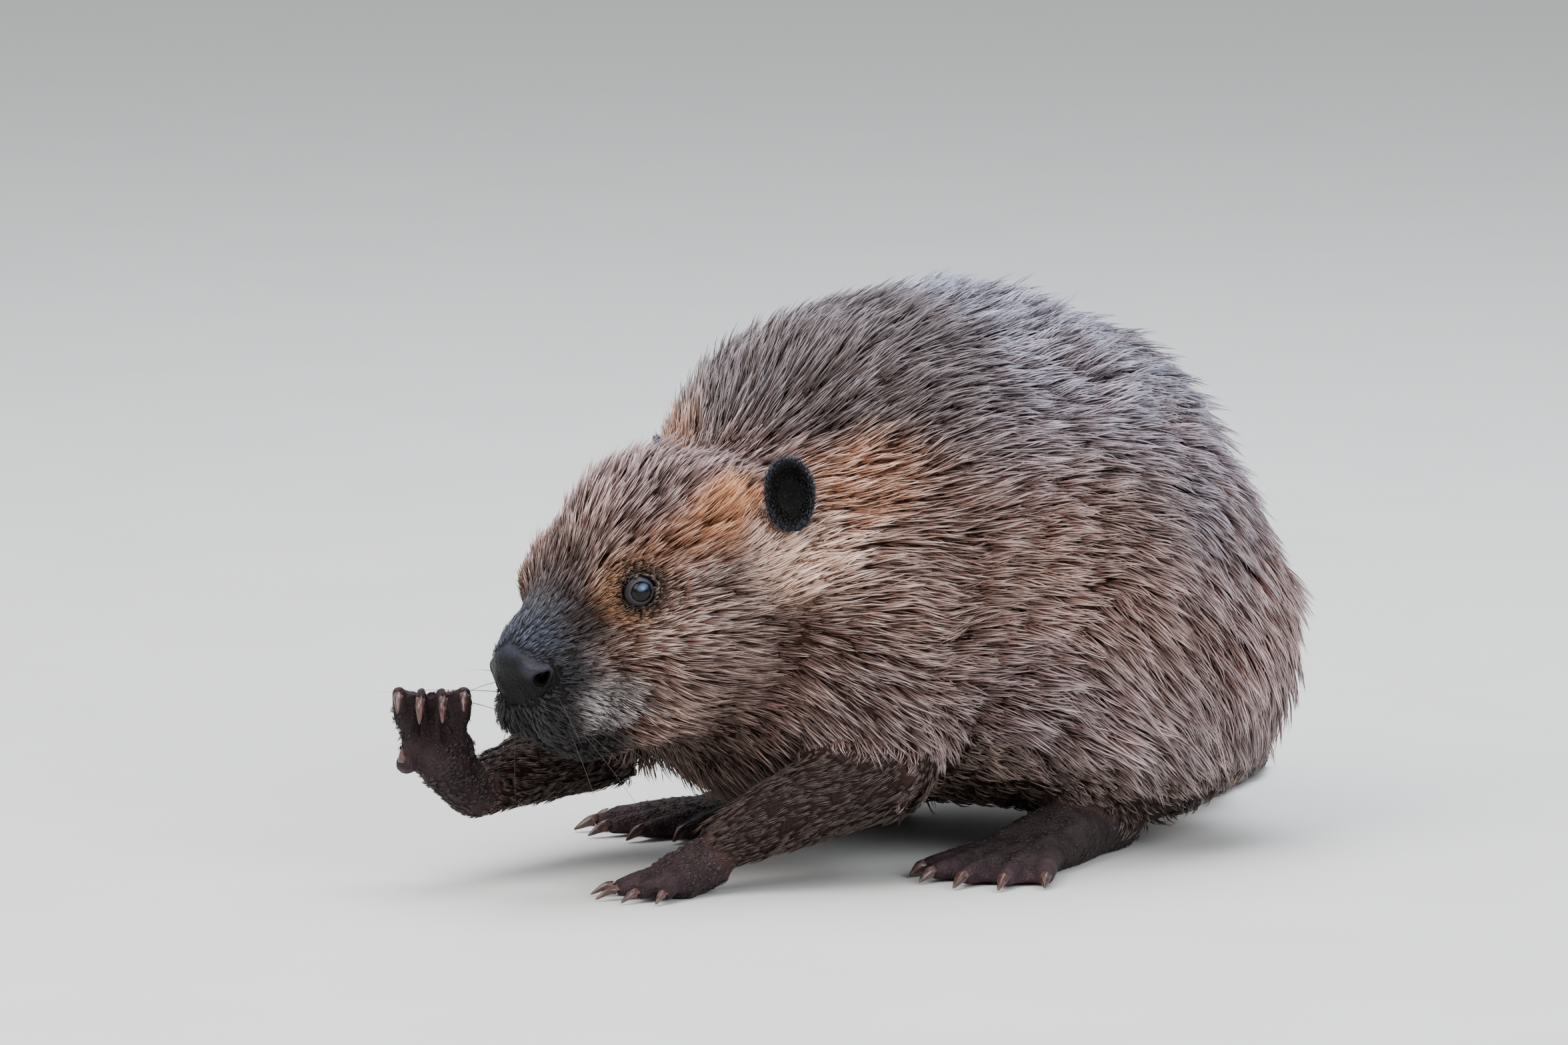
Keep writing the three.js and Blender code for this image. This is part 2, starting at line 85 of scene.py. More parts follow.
def newObject(name, points, faces, attributes=None):
    mesh = bpy.data.meshes.new(name)
    mesh.from_pydata([tuple(p) for p in points], [], [tuple(f) for f in faces])
    mesh.polygons.foreach_set("use_smooth", [True] * len(mesh.polygons))
    for key, values in (attributes or {}).items():
        keep(mesh, key, values)
    return bpy.data.objects.new(name, mesh)


def keep(mesh, name, values, domain="POINT"):  # stores an array as a named attribute
    values = np.asarray(values)
    whole = values.dtype.kind in "iu"
    if values.ndim == 1:
        kind, field = ("INT", "value") if whole else ("FLOAT", "value")
    elif values.shape[1] == 4:
        kind, field = "FLOAT_COLOR", "color"
    else:
        kind, field = "FLOAT_VECTOR", "vector"
    attribute = mesh.attributes.new(name, kind, domain)
    attribute.data.foreach_set(field, values.astype(np.int32 if whole else np.float32).ravel())


def withAlpha(colours):
    return np.concatenate([colours, np.ones((len(colours), 1))], axis=1)


def readPoints(mesh, what="co"):
    values = np.empty(len(mesh.vertices) * 3)
    mesh.vertices.foreach_get(what, values)
    return values.reshape(-1, 3)


def writePoints(mesh, points):
    mesh.vertices.foreach_set("co", points.ravel())
    mesh.update()


def readEdges(mesh):
    values = np.empty(len(mesh.edges) * 2, dtype=np.int32)
    mesh.edges.foreach_get("vertices", values)
    return values.reshape(-1, 2)


def spread(values, edges, rounds, share=0.5):  # each value drifts towards the mean of its neighbours
    flat = values.ndim == 1
    values = values[:, None].copy() if flat else values.copy()
    count = len(values)
    first, second = edges.T
    degree = np.maximum(np.bincount(edges.ravel(), minlength=count), 1)[:, None]
    share = share[:, None] if isinstance(share, np.ndarray) else share
    for _ in range(rounds):
        total = np.stack([np.bincount(first, column[second], count)
                          + np.bincount(second, column[first], count) for column in values.T], axis=1)
        values += (total / degree - values) * share
    return values[:, 0] if flat else values


def applied(obj):  # the object's mesh with its modifiers applied
    graph = bpy.context.evaluated_depsgraph_get()
    mesh = bpy.data.meshes.new_from_object(obj.evaluated_get(graph))
    obj.modifiers.clear()
    obj.data = mesh
    return obj


class Wire:  # a socket that can be used in sums
    def __init__(self, board, socket):
        self.board = board
        self.socket = socket

    def math(self, operation, first, second=0.0):
        return self.board.add("ShaderNodeMath", {"operation": operation}, {0: first, 1: second})

    def __add__(self, other):
        return self.math("ADD", self, other)

    def __sub__(self, other):
        return self.math("SUBTRACT", self, other)

    def __rsub__(self, other):
        return self.math("SUBTRACT", other, self)

    def __mul__(self, other):
        return self.math("MULTIPLY", self, other)

    def most(self, other):
        return self.math("MAXIMUM", self, other)

    __radd__ = __add__
    __rmul__ = __mul__


class Board:  # a node tree, with one way to add a node to it
    def __init__(self, tree):
        self.tree = tree

    def add(self, kind, settings=None, inputs=None, out=0):
        node = self.tree.nodes.new(kind)
        for name, value in (settings or {}).items():
            if name == "stops":
                self.setStops(node.color_ramp, value)
            else:
                setattr(node, name, value)
        for name, value in (inputs or {}).items():
            if isinstance(value, Wire):
                self.tree.links.new(value.socket, node.inputs[name])
            else:
                node.inputs[name].default_value = value
        if isinstance(out, (int, str)):
            return Wire(self, node.outputs[out])
        return [Wire(self, node.outputs[key]) for key in out]

    def setStops(self, ramp, stops):
        ends = ramp.elements[0], ramp.elements[-1]
        for element, (place, colour) in zip(ends, (stops[0], stops[-1])):
            element.position = place
            element.color = (*colour, 1)
        for place, colour in stops[1:-1]:
            ramp.elements.new(place).color = (*colour, 1)

    def vector(self, operation, first, second):
        slot = "Scale" if operation == "SCALE" else 1
        return self.add("ShaderNodeVectorMath", {"operation": operation}, {0: first, slot: second})

    def mix(self, factor, first, second, blend="MIX"):
        first = first if isinstance(first, Wire) else (*first, 1)
        second = second if isinstance(second, Wire) else (*second, 1)
        return self.add("ShaderNodeMix", {"data_type": "RGBA", "blend_type": blend},
                        {0: factor, 6: first, 7: second}, 2)

    def dimmed(self, colour, share):  # a colour made darker or lighter by a number
        grey = self.add("ShaderNodeCombineColor", None, {0: share, 1: share, 2: share})
        return self.mix(1.0, colour, grey, "MULTIPLY")

    def bump(self, height, strength, distance):
        return self.add("ShaderNodeBump", None,
                        {"Strength": strength, "Distance": distance, "Height": height})

    def span(self, value, low, high, start=0.0, end=1.0):
        return self.add("ShaderNodeMapRange", {"interpolation_type": "SMOOTHSTEP"},
                        {"Value": value, "From Min": low, "From Max": high, "To Min": start, "To Max": end})

    def named(self, name, out="Fac"):
        return self.add("ShaderNodeAttribute", {"attribute_name": name}, None, out)

    def noise(self, place, scale, detail=3, **more):
        return self.add("ShaderNodeTexNoise", None,
                        {"Vector": place, "Scale": scale, "Detail": detail, **more})

    def cells(self, place, scale, feature="F1", **more):
        return self.add("ShaderNodeTexVoronoi", {"feature": feature},
                        {"Vector": place, "Scale": scale, **more})


def newFinish(name, fixed):  # a material, its board and its main shader with the values that stay the same
    material = bpy.data.materials.new(name)
    material.use_nodes = True
    board = Board(material.node_tree)
    shader = material.node_tree.nodes["Principled BSDF"]
    for key, value in fixed.items():
        shader.inputs[key].default_value = value
    return material, board, shader


def feed(board, shader, **wires):  # links wires to the shader, by names without spaces
    for key, wire in wires.items():
        board.tree.links.new(wire.socket, shader.inputs[key.replace("_", " ")])


def objectPlace(board):
    return board.add("ShaderNodeTexCoord", None, None, "Object")


# The aim is in shares of the box, from its middle in X and Y and from the floor in Z.
camera = {"azimuth": 45, "elevation": 7, "distance": 7.5, "lens": 360, "aim": (-0.0825, -0.0986, 0.564)}


def placeCamera():
    size = cadHigh - cadLow
    centre = (cadLow + cadHigh) / 2
    acrossShare, alongShare, heightShare = camera["aim"]
    aim = Vector((centre.x + acrossShare * size.x, centre.y + alongShare * size.y,
                  cadLow.z + heightShare * size.z))
    turn, rise = math.radians(camera["azimuth"]), math.radians(camera["elevation"])
    back = Vector((math.sin(turn) * math.cos(rise), -math.cos(turn) * math.cos(rise), math.sin(rise)))
    data = bpy.data.cameras.new("camera")
    data.lens = camera["lens"]
    data.clip_end = 200
    holder = bpy.data.objects.new("camera", data)
    holder.location = aim + back * camera["distance"]
    holder.rotation_euler = (-back).to_track_quat("-Z", "Y").to_euler()
    scene.collection.objects.link(holder)
    scene.camera = holder
    return aim, back


studio = {  # each lamp stands at metres to the right, towards the viewer and up, from the camera's aim
    "key": {"from": (-1.2, 1.5, 2.0), "size": 2.2, "watts": 92, "tone": (1.0, 0.97, 0.94)},
    "sky": {"from": (0.4, -0.8, 2.6), "size": 2.4, "watts": 125, "tone": (0.86, 0.92, 1.0)},
    "fill": {"from": (1.8, 2.0, 1.35), "size": 1.4, "watts": 54, "tone": (0.9, 0.95, 1.0)},
}
floorTone = {"size": 160, "colour": hue(222, 220, 217), "world": (0.9, 0.93, 0.97, 1),
             "worldStrength": 0.62}


def lightStudio(aim, back):
    toViewer = Vector((back.x, back.y, 0)).normalized()
    right = Vector((0, 0, 1)).cross(toViewer)
    for name, lamp in studio.items():
        data = bpy.data.lights.new(name, "AREA")
        data.size = lamp["size"]
        data.energy = lamp["watts"]
        data.color = lamp["tone"]
        holder = bpy.data.objects.new(name, data)
        aside, near, high = lamp["from"]
        holder.location = aim + right * aside + toViewer * near + Vector((0, 0, high))
        holder.rotation_euler = (aim - holder.location).to_track_quat("-Z", "Y").to_euler()
        holder.visible_camera = False
        scene.collection.objects.link(holder)
    world = bpy.data.worlds.new("studio")
    world.use_nodes = True
    world.node_tree.nodes["Background"].inputs["Color"].default_value = floorTone["world"]
    world.node_tree.nodes["Background"].inputs["Strength"].default_value = floorTone["worldStrength"]
    scene.world = world


def layFloor():
    half = floorTone["size"] / 2
    corners = [(-half, -half, 0), (half, -half, 0), (half, half, 0), (-half, half, 0)]
    floor = newObject("floor", corners, [(0, 1, 2, 3)])
    material, board, shader = newFinish("pale_floor", {"Specular IOR Level": 0.3})
    grain = board.noise(objectPlace(board), 9.0, 4)
    tone = board.mix(grain, floorTone["colour"] * 0.97, floorTone["colour"])
    feed(board, shader, Base_Color=tone, Roughness=board.span(grain, 0.2, 0.8, 0.55, 0.7))
    floor.data.materials.append(material)
    scene.collection.objects.link(floor)


aim, back = placeCamera()
lightStudio(aim, back)
layFloor()
print("camera, lamps and floor placed")


# How the head is held, in degrees, and how far behind and above the nose tip its eyes are, in millimetres.
pose = {"turn": 7, "drop": 18, "eyeBack": 64, "eyeHeight": 19.5}

turn, drop = math.radians(pose["turn"]), math.radians(pose["drop"])
headLeft = np.array((math.cos(turn), -math.sin(turn), 0))
headBack = np.array((math.sin(turn) * math.cos(drop), math.cos(turn) * math.cos(drop), math.sin(drop)))
headUp = np.cross(headLeft, headBack)
eyeMiddle = (middle("eye_left") + middle("eye_right")) / 2
noseTip = eyeMiddle - (headBack * pose["eyeBack"] + headUp * pose["eyeHeight"]) * mm


def inHead(points):  # millimetres to the left, back and up from the nose tip
    return (points - noseTip) @ np.stack([headLeft, headBack, headUp], axis=1) / mm


def fromHead(aside, behind, above):
    return noseTip + (headLeft * aside + headBack * behind + headUp * above) * mm


skinBuild = {"voxel": 2.0, "swell": 0.4, "rounds": 26, "thinRounds": 4, "blend": 14,
             "bodyShare": 0.22, "eyeReach": 15, "muzzleReach": 36, "handReach": 21, "lidReach": 11,
             "nostrilReach": 12}


def fleshNodes():
    return sorted(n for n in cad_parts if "eye" not in n and "claw" not in n)


def gatherFlesh():  # every node of flesh in one set of points and faces, and the node of each face
    points, faces, owners = [], [], []
    for index, name in enumerate(fleshNodes()):
        shape = bmesh.new()
        shape.from_mesh(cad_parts[name].data)
        bmesh.ops.remove_doubles(shape, verts=shape.verts, dist=weldReach)
        shape.normal_update()
        start = len(points)
        points += [v.co + v.normal * skinBuild["swell"] * mm for v in shape.verts]
        faces += [[v.index + start for v in f.verts] for f in shape.faces]
        owners += [index] * len(shape.faces)
        shape.free()
    return points, faces, np.array(owners)


def remeshed(points, faces):
    block = newObject("skin", points, faces)
    scene.collection.objects.link(block)
    change = block.modifiers.new("weld", "REMESH")
    change.mode = "VOXEL"
    change.voxel_size = skinBuild["voxel"] * mm
    return applied(block)


def largestIsland(obj):
    shape = bmesh.new()
    shape.from_mesh(obj.data)
    unseen = set(shape.verts)
    islands = []
    while unseen:
        seed = unseen.pop()
        island, edge = {seed}, [seed]
        while edge:
            vert = edge.pop()
            for link in vert.link_edges:
                other = link.other_vert(vert)
                if other in unseen:
                    unseen.discard(other)
                    island.add(other)
                    edge.append(other)
        islands.append(island)
    islands.sort(key=len)
    spare = [v for island in islands[:-1] for v in island]
    bmesh.ops.delete(shape, geom=spare, context="VERTS")
    shape.to_mesh(obj.data)
    shape.free()


def nearestNodes(points):  # the flesh node that each point lies nearest to
    return np.array([owners[fleshTree.find_nearest(Vector(p))[2]] for p in points])


def onNodes(nearest, *parts):
    return np.isin(nearest, [i for i, name in enumerate(names) if any(part in name for part in parts)])


def smoothed(points, edges, rounds, weight):  # smoothing that doesn't shrink
    for _ in range(rounds):
        points = spread(points, edges, 1, 0.5 * weight)
        points = spread(points, edges, 1, -0.52 * weight)
    return points


def thinOut(obj, spare):  # fewer faces where long hair hides the skin
    group = obj.vertex_groups.new(name="spare")
    group.add([int(i) for i in np.nonzero(spare)[0]], 1.0, "REPLACE")
    change = obj.modifiers.new("thin", "DECIMATE")
    change.ratio = 1 - (1 - skinBuild["bodyShare"]) * float(np.mean(spare))
    change.vertex_group = group.name
    applied(obj)
    obj.vertex_groups.clear()


def refine(obj, near):  # near: (centre, reach in millimetres) pairs; the faces there are cut in four
    shape = bmesh.new()
    shape.from_mesh(obj.data)
    points = np.array([v.co for v in shape.verts])
    inside = np.zeros(len(points), bool)
    for centre, reach in near:
        inside |= np.linalg.norm(points - centre, axis=1) < reach * mm
    edges = [e for e in shape.edges if inside[e.verts[0].index] and inside[e.verts[1].index]]
    bmesh.ops.subdivide_edges(shape, edges=edges, cuts=1, use_grid_fill=True)
    odd = [f for f in shape.faces if len(f.verts) > 4]
    bmesh.ops.triangulate(shape, faces=odd)
    shape.to_mesh(obj.data)
    shape.free()


fleshPoints, fleshFaces, owners = gatherFlesh()
fleshTree = BVHTree.FromPolygons(fleshPoints, fleshFaces)
names = fleshNodes()
skin = remeshed(fleshPoints, fleshFaces)
largestIsland(skin)
edges = readEdges(skin.data)
outer = readPoints(skin.data)
nearest = nearestNodes(outer)
thick = spread(np.where(onNodes(nearest, "ear", "paw", "foot"), 0.0, 1.0), edges, 6)
outer = smoothed(outer, edges, skinBuild["rounds"], thick)
outer = smoothed(outer, edges, skinBuild["thinRounds"], 1 - thick)
writePoints(skin.data, outer)
thinOut(skin, onNodes(nearest, "trunk", "neck", "hind_leg", "tail_root") & (thick > 0.98))
finePlaces = [(middle("eye_left"), skinBuild["eyeReach"]), (middle("eye_right"), skinBuild["eyeReach"]),
              (fromHead(0, 12, -16), skinBuild["muzzleReach"]),
              ((middle("fore_claw_right_2") + middle("fore_claw_right_3")) / 2, skinBuild["handReach"])]
refine(skin, finePlaces)
nostrilPlaces = [(fromHead(side * 18, 11, -6), skinBuild["nostrilReach"]) for side in (1, -1)]
refine(skin, [(place, skinBuild["lidReach"]) for place, _ in finePlaces[:2]] + nostrilPlaces)
edges = readEdges(skin.data)
outer = readPoints(skin.data)
fine = np.maximum.reduce([smooth(np.linalg.norm(outer - place, axis=1) / mm, reach + 4, reach - 6)
                          for place, reach in finePlaces])
outer = smoothed(outer, edges, 8, fine)
writePoints(skin.data, outer)
outward = readPoints(skin.data, "normal")
nearest = nearestNodes(outer)
print("skin shaped:", sum(len(f.vertices) - 2 for f in skin.data.polygons), "triangles")


shares = {name: spread((nearest == index).astype(float), edges, skinBuild["blend"])
          for index, name in enumerate(names)}
pair = {part: shares[part + "_left"] + shares[part + "_right"]
        for part in ("ear", "foreleg", "forepaw", "hind_leg", "hind_foot")}


def ripple(points, scale, seed):  # a smooth random field, mostly from -1 to 1; scale is in millimetres
    random = np.random.default_rng(seed)
    total = np.zeros(len(points))
    for _ in range(7):
        total += np.sin(points @ random.normal(0, 1 / scale, 3) / mm + random.uniform(0, 6.28))
    return total / 7 ** 0.5


trunkLow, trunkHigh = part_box("trunk")
waver = ripple(outer, 22, 41) * 0.6 + ripple(outer, 9, 42) * 0.4  # breaks up the edges of the markings
rear = (outer[:, 1] - trunkLow.y) / (trunkHigh.y - trunkLow.y) + waver * 0.06  # 0 at the chest
height = outer[:, 2] / trunkHigh.z + waver * 0.05
aside, behind, above = inHead(outer + outward * waver[:, None] * 3 * mm).T
wide = np.abs(aside)
onBody = np.clip(shares["trunk"] + shares["neck"] + pair["hind_leg"] + shares["tail_root"], 0, 1)
onHead = np.clip(shares["head"] + shares["nose"], 0, 1)


def blob(centre, radii, soft=0.7):  # 1 inside an oval in the head's own measures, on both sides
    q = np.sqrt(((wide - centre[0]) / radii[0]) ** 2 + ((behind - centre[1]) / radii[1]) ** 2
                + ((above - centre[2]) / radii[2]) ** 2) + waver * 0.12
    return smooth(q, 1 + soft, 1 - soft * 0.5)


def clawReach():  # millimetres from each point to the nearest claw
    middles = [middle(n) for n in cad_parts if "claw" in n]
    return np.min([np.linalg.norm(outer - m, axis=1) for m in middles], axis=0) / mm


def earFrame(node, side):  # the way the ear faces, and each point's reach: 0 in its middle, 1 at its rim
    corners = np.array([v.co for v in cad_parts[node].data.vertices])
    centre = middle(node)
    axes = np.linalg.svd(corners - centre, full_matrices=False)[2]
    half = np.abs((corners - centre) @ axes.T).max(axis=0)
    flat = (outer - centre) @ axes.T / half
    facing = axes[2] * np.sign(axes[2] @ (side * headLeft - 0.4 * headBack))
    return facing, np.hypot(flat[:, 0], flat[:, 1])


nearClaw = smooth(clawReach(), 30, 14)
rootLow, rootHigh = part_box("tail_root")
tailward = (outer[:, 1] - rootLow.y) / (rootHigh.y - rootLow.y)  # 0 at the rump, 1 at the blade
padShare = smooth(shares["nose"] + waver * 0.03, 0.16, 0.42)
padShare *= smooth(above - 0.35 * wide, -22, -17) * smooth(above + 0.55 * wide, 13, 8)
earSides = {"ear_left": 1, "ear_right": -1}
rimShare = sum(earFrame(node, side)[1] * (shares[node] > 0.05) for node, side in earSides.items())


hair = {key: np.zeros(len(outer)) for key in ("length", "rise", "girth", "cover", "bare")}
hair |= {key: np.zeros((len(outer), 3)) for key in ("tint", "tip")}


def zone(mask, tint=None, tip=None, **sizes):  # painted over what is there by its mask, from 0 to 1
    mask = np.clip(mask, 0, 1)
    for key, colour in (("tint", tint), ("tip", tip)):
        if colour:
            hair[key] += (hue(*colour) - hair[key]) * mask[:, None]
    for key, value in sizes.items():
        hair[key] += (value - hair[key]) * mask


# Sizes in millimetres, cover in locks for a square centimetre, rise as a share of the length. First the
# body: its back, flank, lower half, rump, shoulder, hem and underside.
zone(np.ones(len(outer)), (106, 73, 65), (216, 194, 194), length=30, rise=0.22, girth=0.78, cover=8.2,
     bare=0)
# The top of the back: greyer fur, its pale blue tips partly its own colour and partly a painted sheen of
# light from above.
zone(smooth(height, 0.43, 0.9) * onBody, (96, 86, 93), (208, 211, 234), rise=0.3, length=28)
zone(smooth(rear, 0.7, 0.25) * smooth(height, 0.3, 0.5) * smooth(height, 0.98, 0.62) * onBody,
     (110, 77, 65), (216, 188, 179), rise=0.2)
zone(smooth(height, 0.5, 0.2) * onBody, (102, 77, 73), (204, 188, 190), length=33, rise=0.2, girth=0.9,
     cover=7.4)
zone(smooth(rear, 0.5, 0.8) * smooth(height, 0.46, 0.2) * onBody, (88, 62, 58), (202, 180, 180))
zone(smooth(rear, 0.66, 0.9) * smooth(height, 0.45, 0.75) * onBody * 0.7, (92, 68, 64),
     (202, 184, 188))
zone(smooth(rear, 0.24, 0.08) * smooth(height, 0.52, 0.38) * onBody * 0.6, (84, 62, 55), (184, 162, 156))
# The hem low on the flank is painted paler, as painted light on fur that lies in shade.
zone(smooth(height, 0.2, 0.1) * smooth(rear, 0.3, 0.5) * onBody, (144, 118, 112), (246, 234, 232))
zone(smooth(outward[:, 2], -0.45, -0.8) * onBody, (92, 74, 64), (150, 128, 114), length=15, rise=0.16,
     cover=8)
# Neck and withers.
zone(shares["neck"], length=25, girth=0.66, cover=10.5, rise=0.22)
# The top of the neck and the withers behind the head are painted darker, as the shade that falls there.
zone(shares["neck"] * smooth(height, 0.7, 0.88) * 0.9, (70, 56, 54), (142, 130, 134))
zone(smooth(rear, 0.3, 0.1) * smooth(height, 0.66, 0.8) * onBody * 0.85, (76, 60, 57), (140, 129, 132))
# Head: as a whole, then crown, temple, cheek, throat, under the jaw and muzzle.
zone(onHead, (90, 58, 45), (226, 194, 180), length=19, rise=0.16, girth=0.48, cover=18.5)
zone(onHead * smooth(above, 30, 50) * smooth(behind, 45, 85), (84, 56, 50), (232, 202, 200), length=21,
     rise=0.24)
zone(onHead * blob((42, 92, 30), (16, 26, 11)) * 0.75, (122, 76, 53), (214, 164, 134))
zone(onHead * blob((44, 80, 2), (18, 36, 16)), (118, 84, 70), (252, 230, 220))
zone(onHead * smooth(above, 2, -24) * smooth(behind, 50, 80), (84, 57, 48), (202, 172, 162), length=25,
     rise=0.17)
zone(onHead * smooth(outward[:, 2], -0.5, -0.85), (84, 66, 58), (150, 126, 114), length=13, rise=0.16)
zone(onHead * smooth(behind, 52, 28), (82, 70, 66), (178, 164, 160), length=10, rise=0.12, girth=0.31,
     cover=36)
# Bridge, brow, in front of the eye, over and behind the nostril, the pale lip, under the nose and the chin.
zone(onHead * blob((6, 29, 17), (10, 23, 12)), (68, 68, 76), (116, 118, 130), length=8, rise=0.08,
     girth=0.25, cover=44)
zone(onHead * blob((8, 56, 30), (10, 24, 12)) * 0.75, (64, 50, 46), (142, 116, 110))
zone(onHead * blob((21, 42, 10), (8, 18, 8)), (44, 35, 32), (96, 82, 78))
zone(onHead * blob((12, 13, 8), (17, 12, 8)), (54, 58, 70), (120, 126, 148), length=6, rise=0.07,
     girth=0.21, cover=60)
zone(onHead * blob((20, 22, -12), (10, 9, 15)), (44, 42, 46), (78, 76, 82))
zone(onHead * blob((25, 34, -29), (13, 17, 11)), (138, 129, 127), (250, 245, 245), length=10, rise=0.2,
     girth=0.4, cover=29)
zone(onHead * smooth(behind, 26, 16) * smooth(above, -6, -12), (31, 29, 31), (72, 68, 71), length=7)
zone(onHead * smooth(above, -34, -42) * smooth(behind, 54, 38), (24, 21, 20), (52, 47, 45), length=5,
     rise=0.2)
# Round the eye, in front of the ear, behind it and under it.
zone(onHead * blob((36, 56, 20), (12, 15, 14)), (102, 66, 42), (182, 136, 98), length=9, rise=0.12,
     girth=0.42, cover=30)
zone(onHead * blob((50, 124, 38), (20, 28, 16)), (146, 88, 52), (232, 176, 130), length=24, rise=0.28)
zone(shares["neck"] * blob((60, 176, 30), (30, 28, 16)), (150, 102, 78), (240, 204, 184))
zone((onHead + shares["neck"]) * blob((58, 138, 8), (25, 22, 17)), (214, 176, 156), (255, 238, 226),
     length=20, rise=0.16)
# Limbs, ears and tail.
zone(pair["foreleg"], (58, 44, 40), (108, 89, 82), length=13, rise=0.1, girth=0.5, cover=17)
zone(pair["hind_leg"] * smooth(height, 0.25, 0.11), (78, 61, 56), (164, 142, 134), length=13,
     rise=0.12, girth=0.66, cover=12)
zone(pair["forepaw"], (52, 41, 42), (94, 79, 78), length=5, rise=0.06, girth=0.32, cover=22, bare=1)
zone(pair["hind_foot"], (54, 46, 46), (92, 80, 76), length=4, rise=0.08, girth=0.36, cover=7, bare=1)
zone((pair["forepaw"] + pair["hind_foot"]) * nearClaw, (58, 46, 49), (92, 80, 82), length=2.5, cover=0)
zone(pair["ear"], (11, 10, 11), (24, 23, 25), length=2.4, rise=0.26, girth=0.2, cover=70)
# The ear's rim is painted blue-grey, as a painted sheen of light along its edge.
zone(pair["ear"] * smooth(rimShare, 0.7, 0.95), (44, 47, 58), (82, 89, 106), length=3.6, rise=0.42,
     girth=0.16)
zone(shares["tail_root"], (88, 64, 60), (196, 174, 172), length=21, rise=0.16, girth=0.8, cover=9)
zone(shares["tail_root"] * smooth(tailward, 0.35, 0.95), (66, 54, 52), (136, 118, 114), length=10,
     rise=0.12, cover=12)
zone(shares["tail_blade"], (56, 52, 54), (70, 66, 68), length=2, cover=0, bare=1)
# Nose pad: near black; its top and the wing by the nostril lighter and bluish, partly own colour, partly
# painted sheen.
zone(padShare, (9, 9, 10), (60, 62, 72), length=3, bare=1)
zone(padShare * smooth(above + 0.3 * behind, 3, 13), (44, 47, 57))
zone(padShare * blob((18, 14, 1), (7, 7, 5)), (48, 48, 59))
patches = ripple(outer, 26, 3) * 0.13 + ripple(outer, 9, 4) * 0.09
for key in ("tint", "tip"):
    hair[key] = np.clip(hair[key] * (1 + patches[:, None]), 0, 1)
hair["length"] *= 1 + 0.12 * ripple(outer, 20, 5)
for part in ("foreleg", "ear"):  # shorter where the part meets the body
    hair["length"] *= 1 - 0.6 * smooth(pair[part], 0.0, 0.15) * smooth(pair[part], 1.0, 0.8)


def lieOfCoat():  # which way the hair points, along the skin
    rearward = np.array((0, 1.0, 0))
    fan = np.array((noseTip[0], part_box("neck")[0].y - 20 * mm, trunkHigh.z * 0.52))
    body = unit(outer - fan) * (1, 1, 0.9) + rearward * 0.35  # away from a place in the neck
    body[:, 2] -= 0.12 + 1.0 * smooth(rear, 0.45, 1.0) + 0.45 * smooth(height, 0.45, 0.1)
    flow = unit(body) * onBody[:, None]
    face = unit(outer - fromHead(0, -14, 4)) + headBack * 0.25  # away from a place before the nose
    face -= headUp * 0.2 * smooth(above, 0, -30)[:, None]
    flow += unit(face) * onHead[:, None]
    for side in ("left", "right"):
        for start, end in (("foreleg", "forepaw"), ("hind_leg", "hind_foot")):
            along = unit(middle(f"{end}_{side}") - middle(f"{start}_{side}"))
            along = unit(along + (0, 0, -0.8)) if start == "hind_leg" else along
            flow += along * shares[f"{start}_{side}"][:, None] * (2 if start == "foreleg" else 0.6)
        onPaws = (shares[f"forepaw_{side}"] + shares[f"hind_foot_{side}"])[:, None]
        flow += np.array((0, -1.0, -0.3)) * onPaws * 2
        earRoot = middle(f"ear_{side}") - headUp * 20 * mm
        flow += unit(outer - earRoot) * shares[f"ear_{side}"][:, None] * 3
    flow += rearward * shares["tail_blade"][:, None]
    sway = np.stack([ripple(outer, 24, seed) + 0.6 * ripple(outer, 10, seed + 9)
                     for seed in (11, 12, 13)], axis=1)
    flow = unit(flow) + sway * 0.15
    for _ in range(3):
        flow -= outward * np.sum(flow * outward, axis=1, keepdims=True)
        flow = unit(spread(unit(flow), edges, 3))
    return flow


lie = lieOfCoat()
deepest = 13  # millimetres from the outline in to the skin
depth = np.minimum(hair["length"] * hair["rise"] * 1.05 + 0.4, deepest) * (1 - hair["bare"])
depth *= 1 - 0.9 * pair["ear"]
depth = spread(depth, edges, 8)
inner = outer - outward * depth[:, None] * mm
inner = spread(inner, edges, 4, 0.4)
print("markings painted, coat depth", round(float(depth.max()), 1), "mm at most")


# Sizes in millimetres; a rim is in widths of its opening, and a line's points are in the head's own measures.
eyeShape = {"halfWidth": 4.85, "halfHeight": 4.55, "rim": 1.33, "lid": 0.8, "sunk": 2.6,
            "lean": (0.94, -0.31, 0.15)}
nostril = {"place": (19, 12.2, -6.2), "halfWidth": 3.9, "halfHeight": 2.7, "slant": 0.3,
           "deep": 8, "wing": 1.1, "wingAt": 1.8}
# How deep each ear's cup is, in millimetres, and how much darker its inside is painted as shade.
earCup = {"deep": 4.6, "paintedCupShade": 0.5}
fingers = {"tipsTo": 18, "rootsFrom": 34, "deep": 3.2, "halfWidth": 1.9}
lips = {"line": ((0, 12, -37), (10, 16, -41), (18, 27, -44), (23, 41, -45), (23, 50, -40)),
        "deep": 2.6, "roll": 1.0, "cleftDeep": 1.3, "wingDeep": 1.1}
cleftLine = ((0, 0, -9), (0, 5, -24), lips["line"][0])  # from the nose pad down to the mouth
wingLine = ((8, 3, 5), (13, 5.5, 0), (14, 6, -8), (12, 6.5, -15))  # in front of the nostril


def eyeAxis(side):
    outwardShare, backShare, upShare = eyeShape["lean"]
    return unit(side * outwardShare * headLeft + backShare * headBack + upShare * headUp)


def eyeFrame(side):
    axis = eyeAxis(side)
    level = unit(headBack - axis * (headBack @ axis))
    return axis, level, np.cross(axis, level) * side


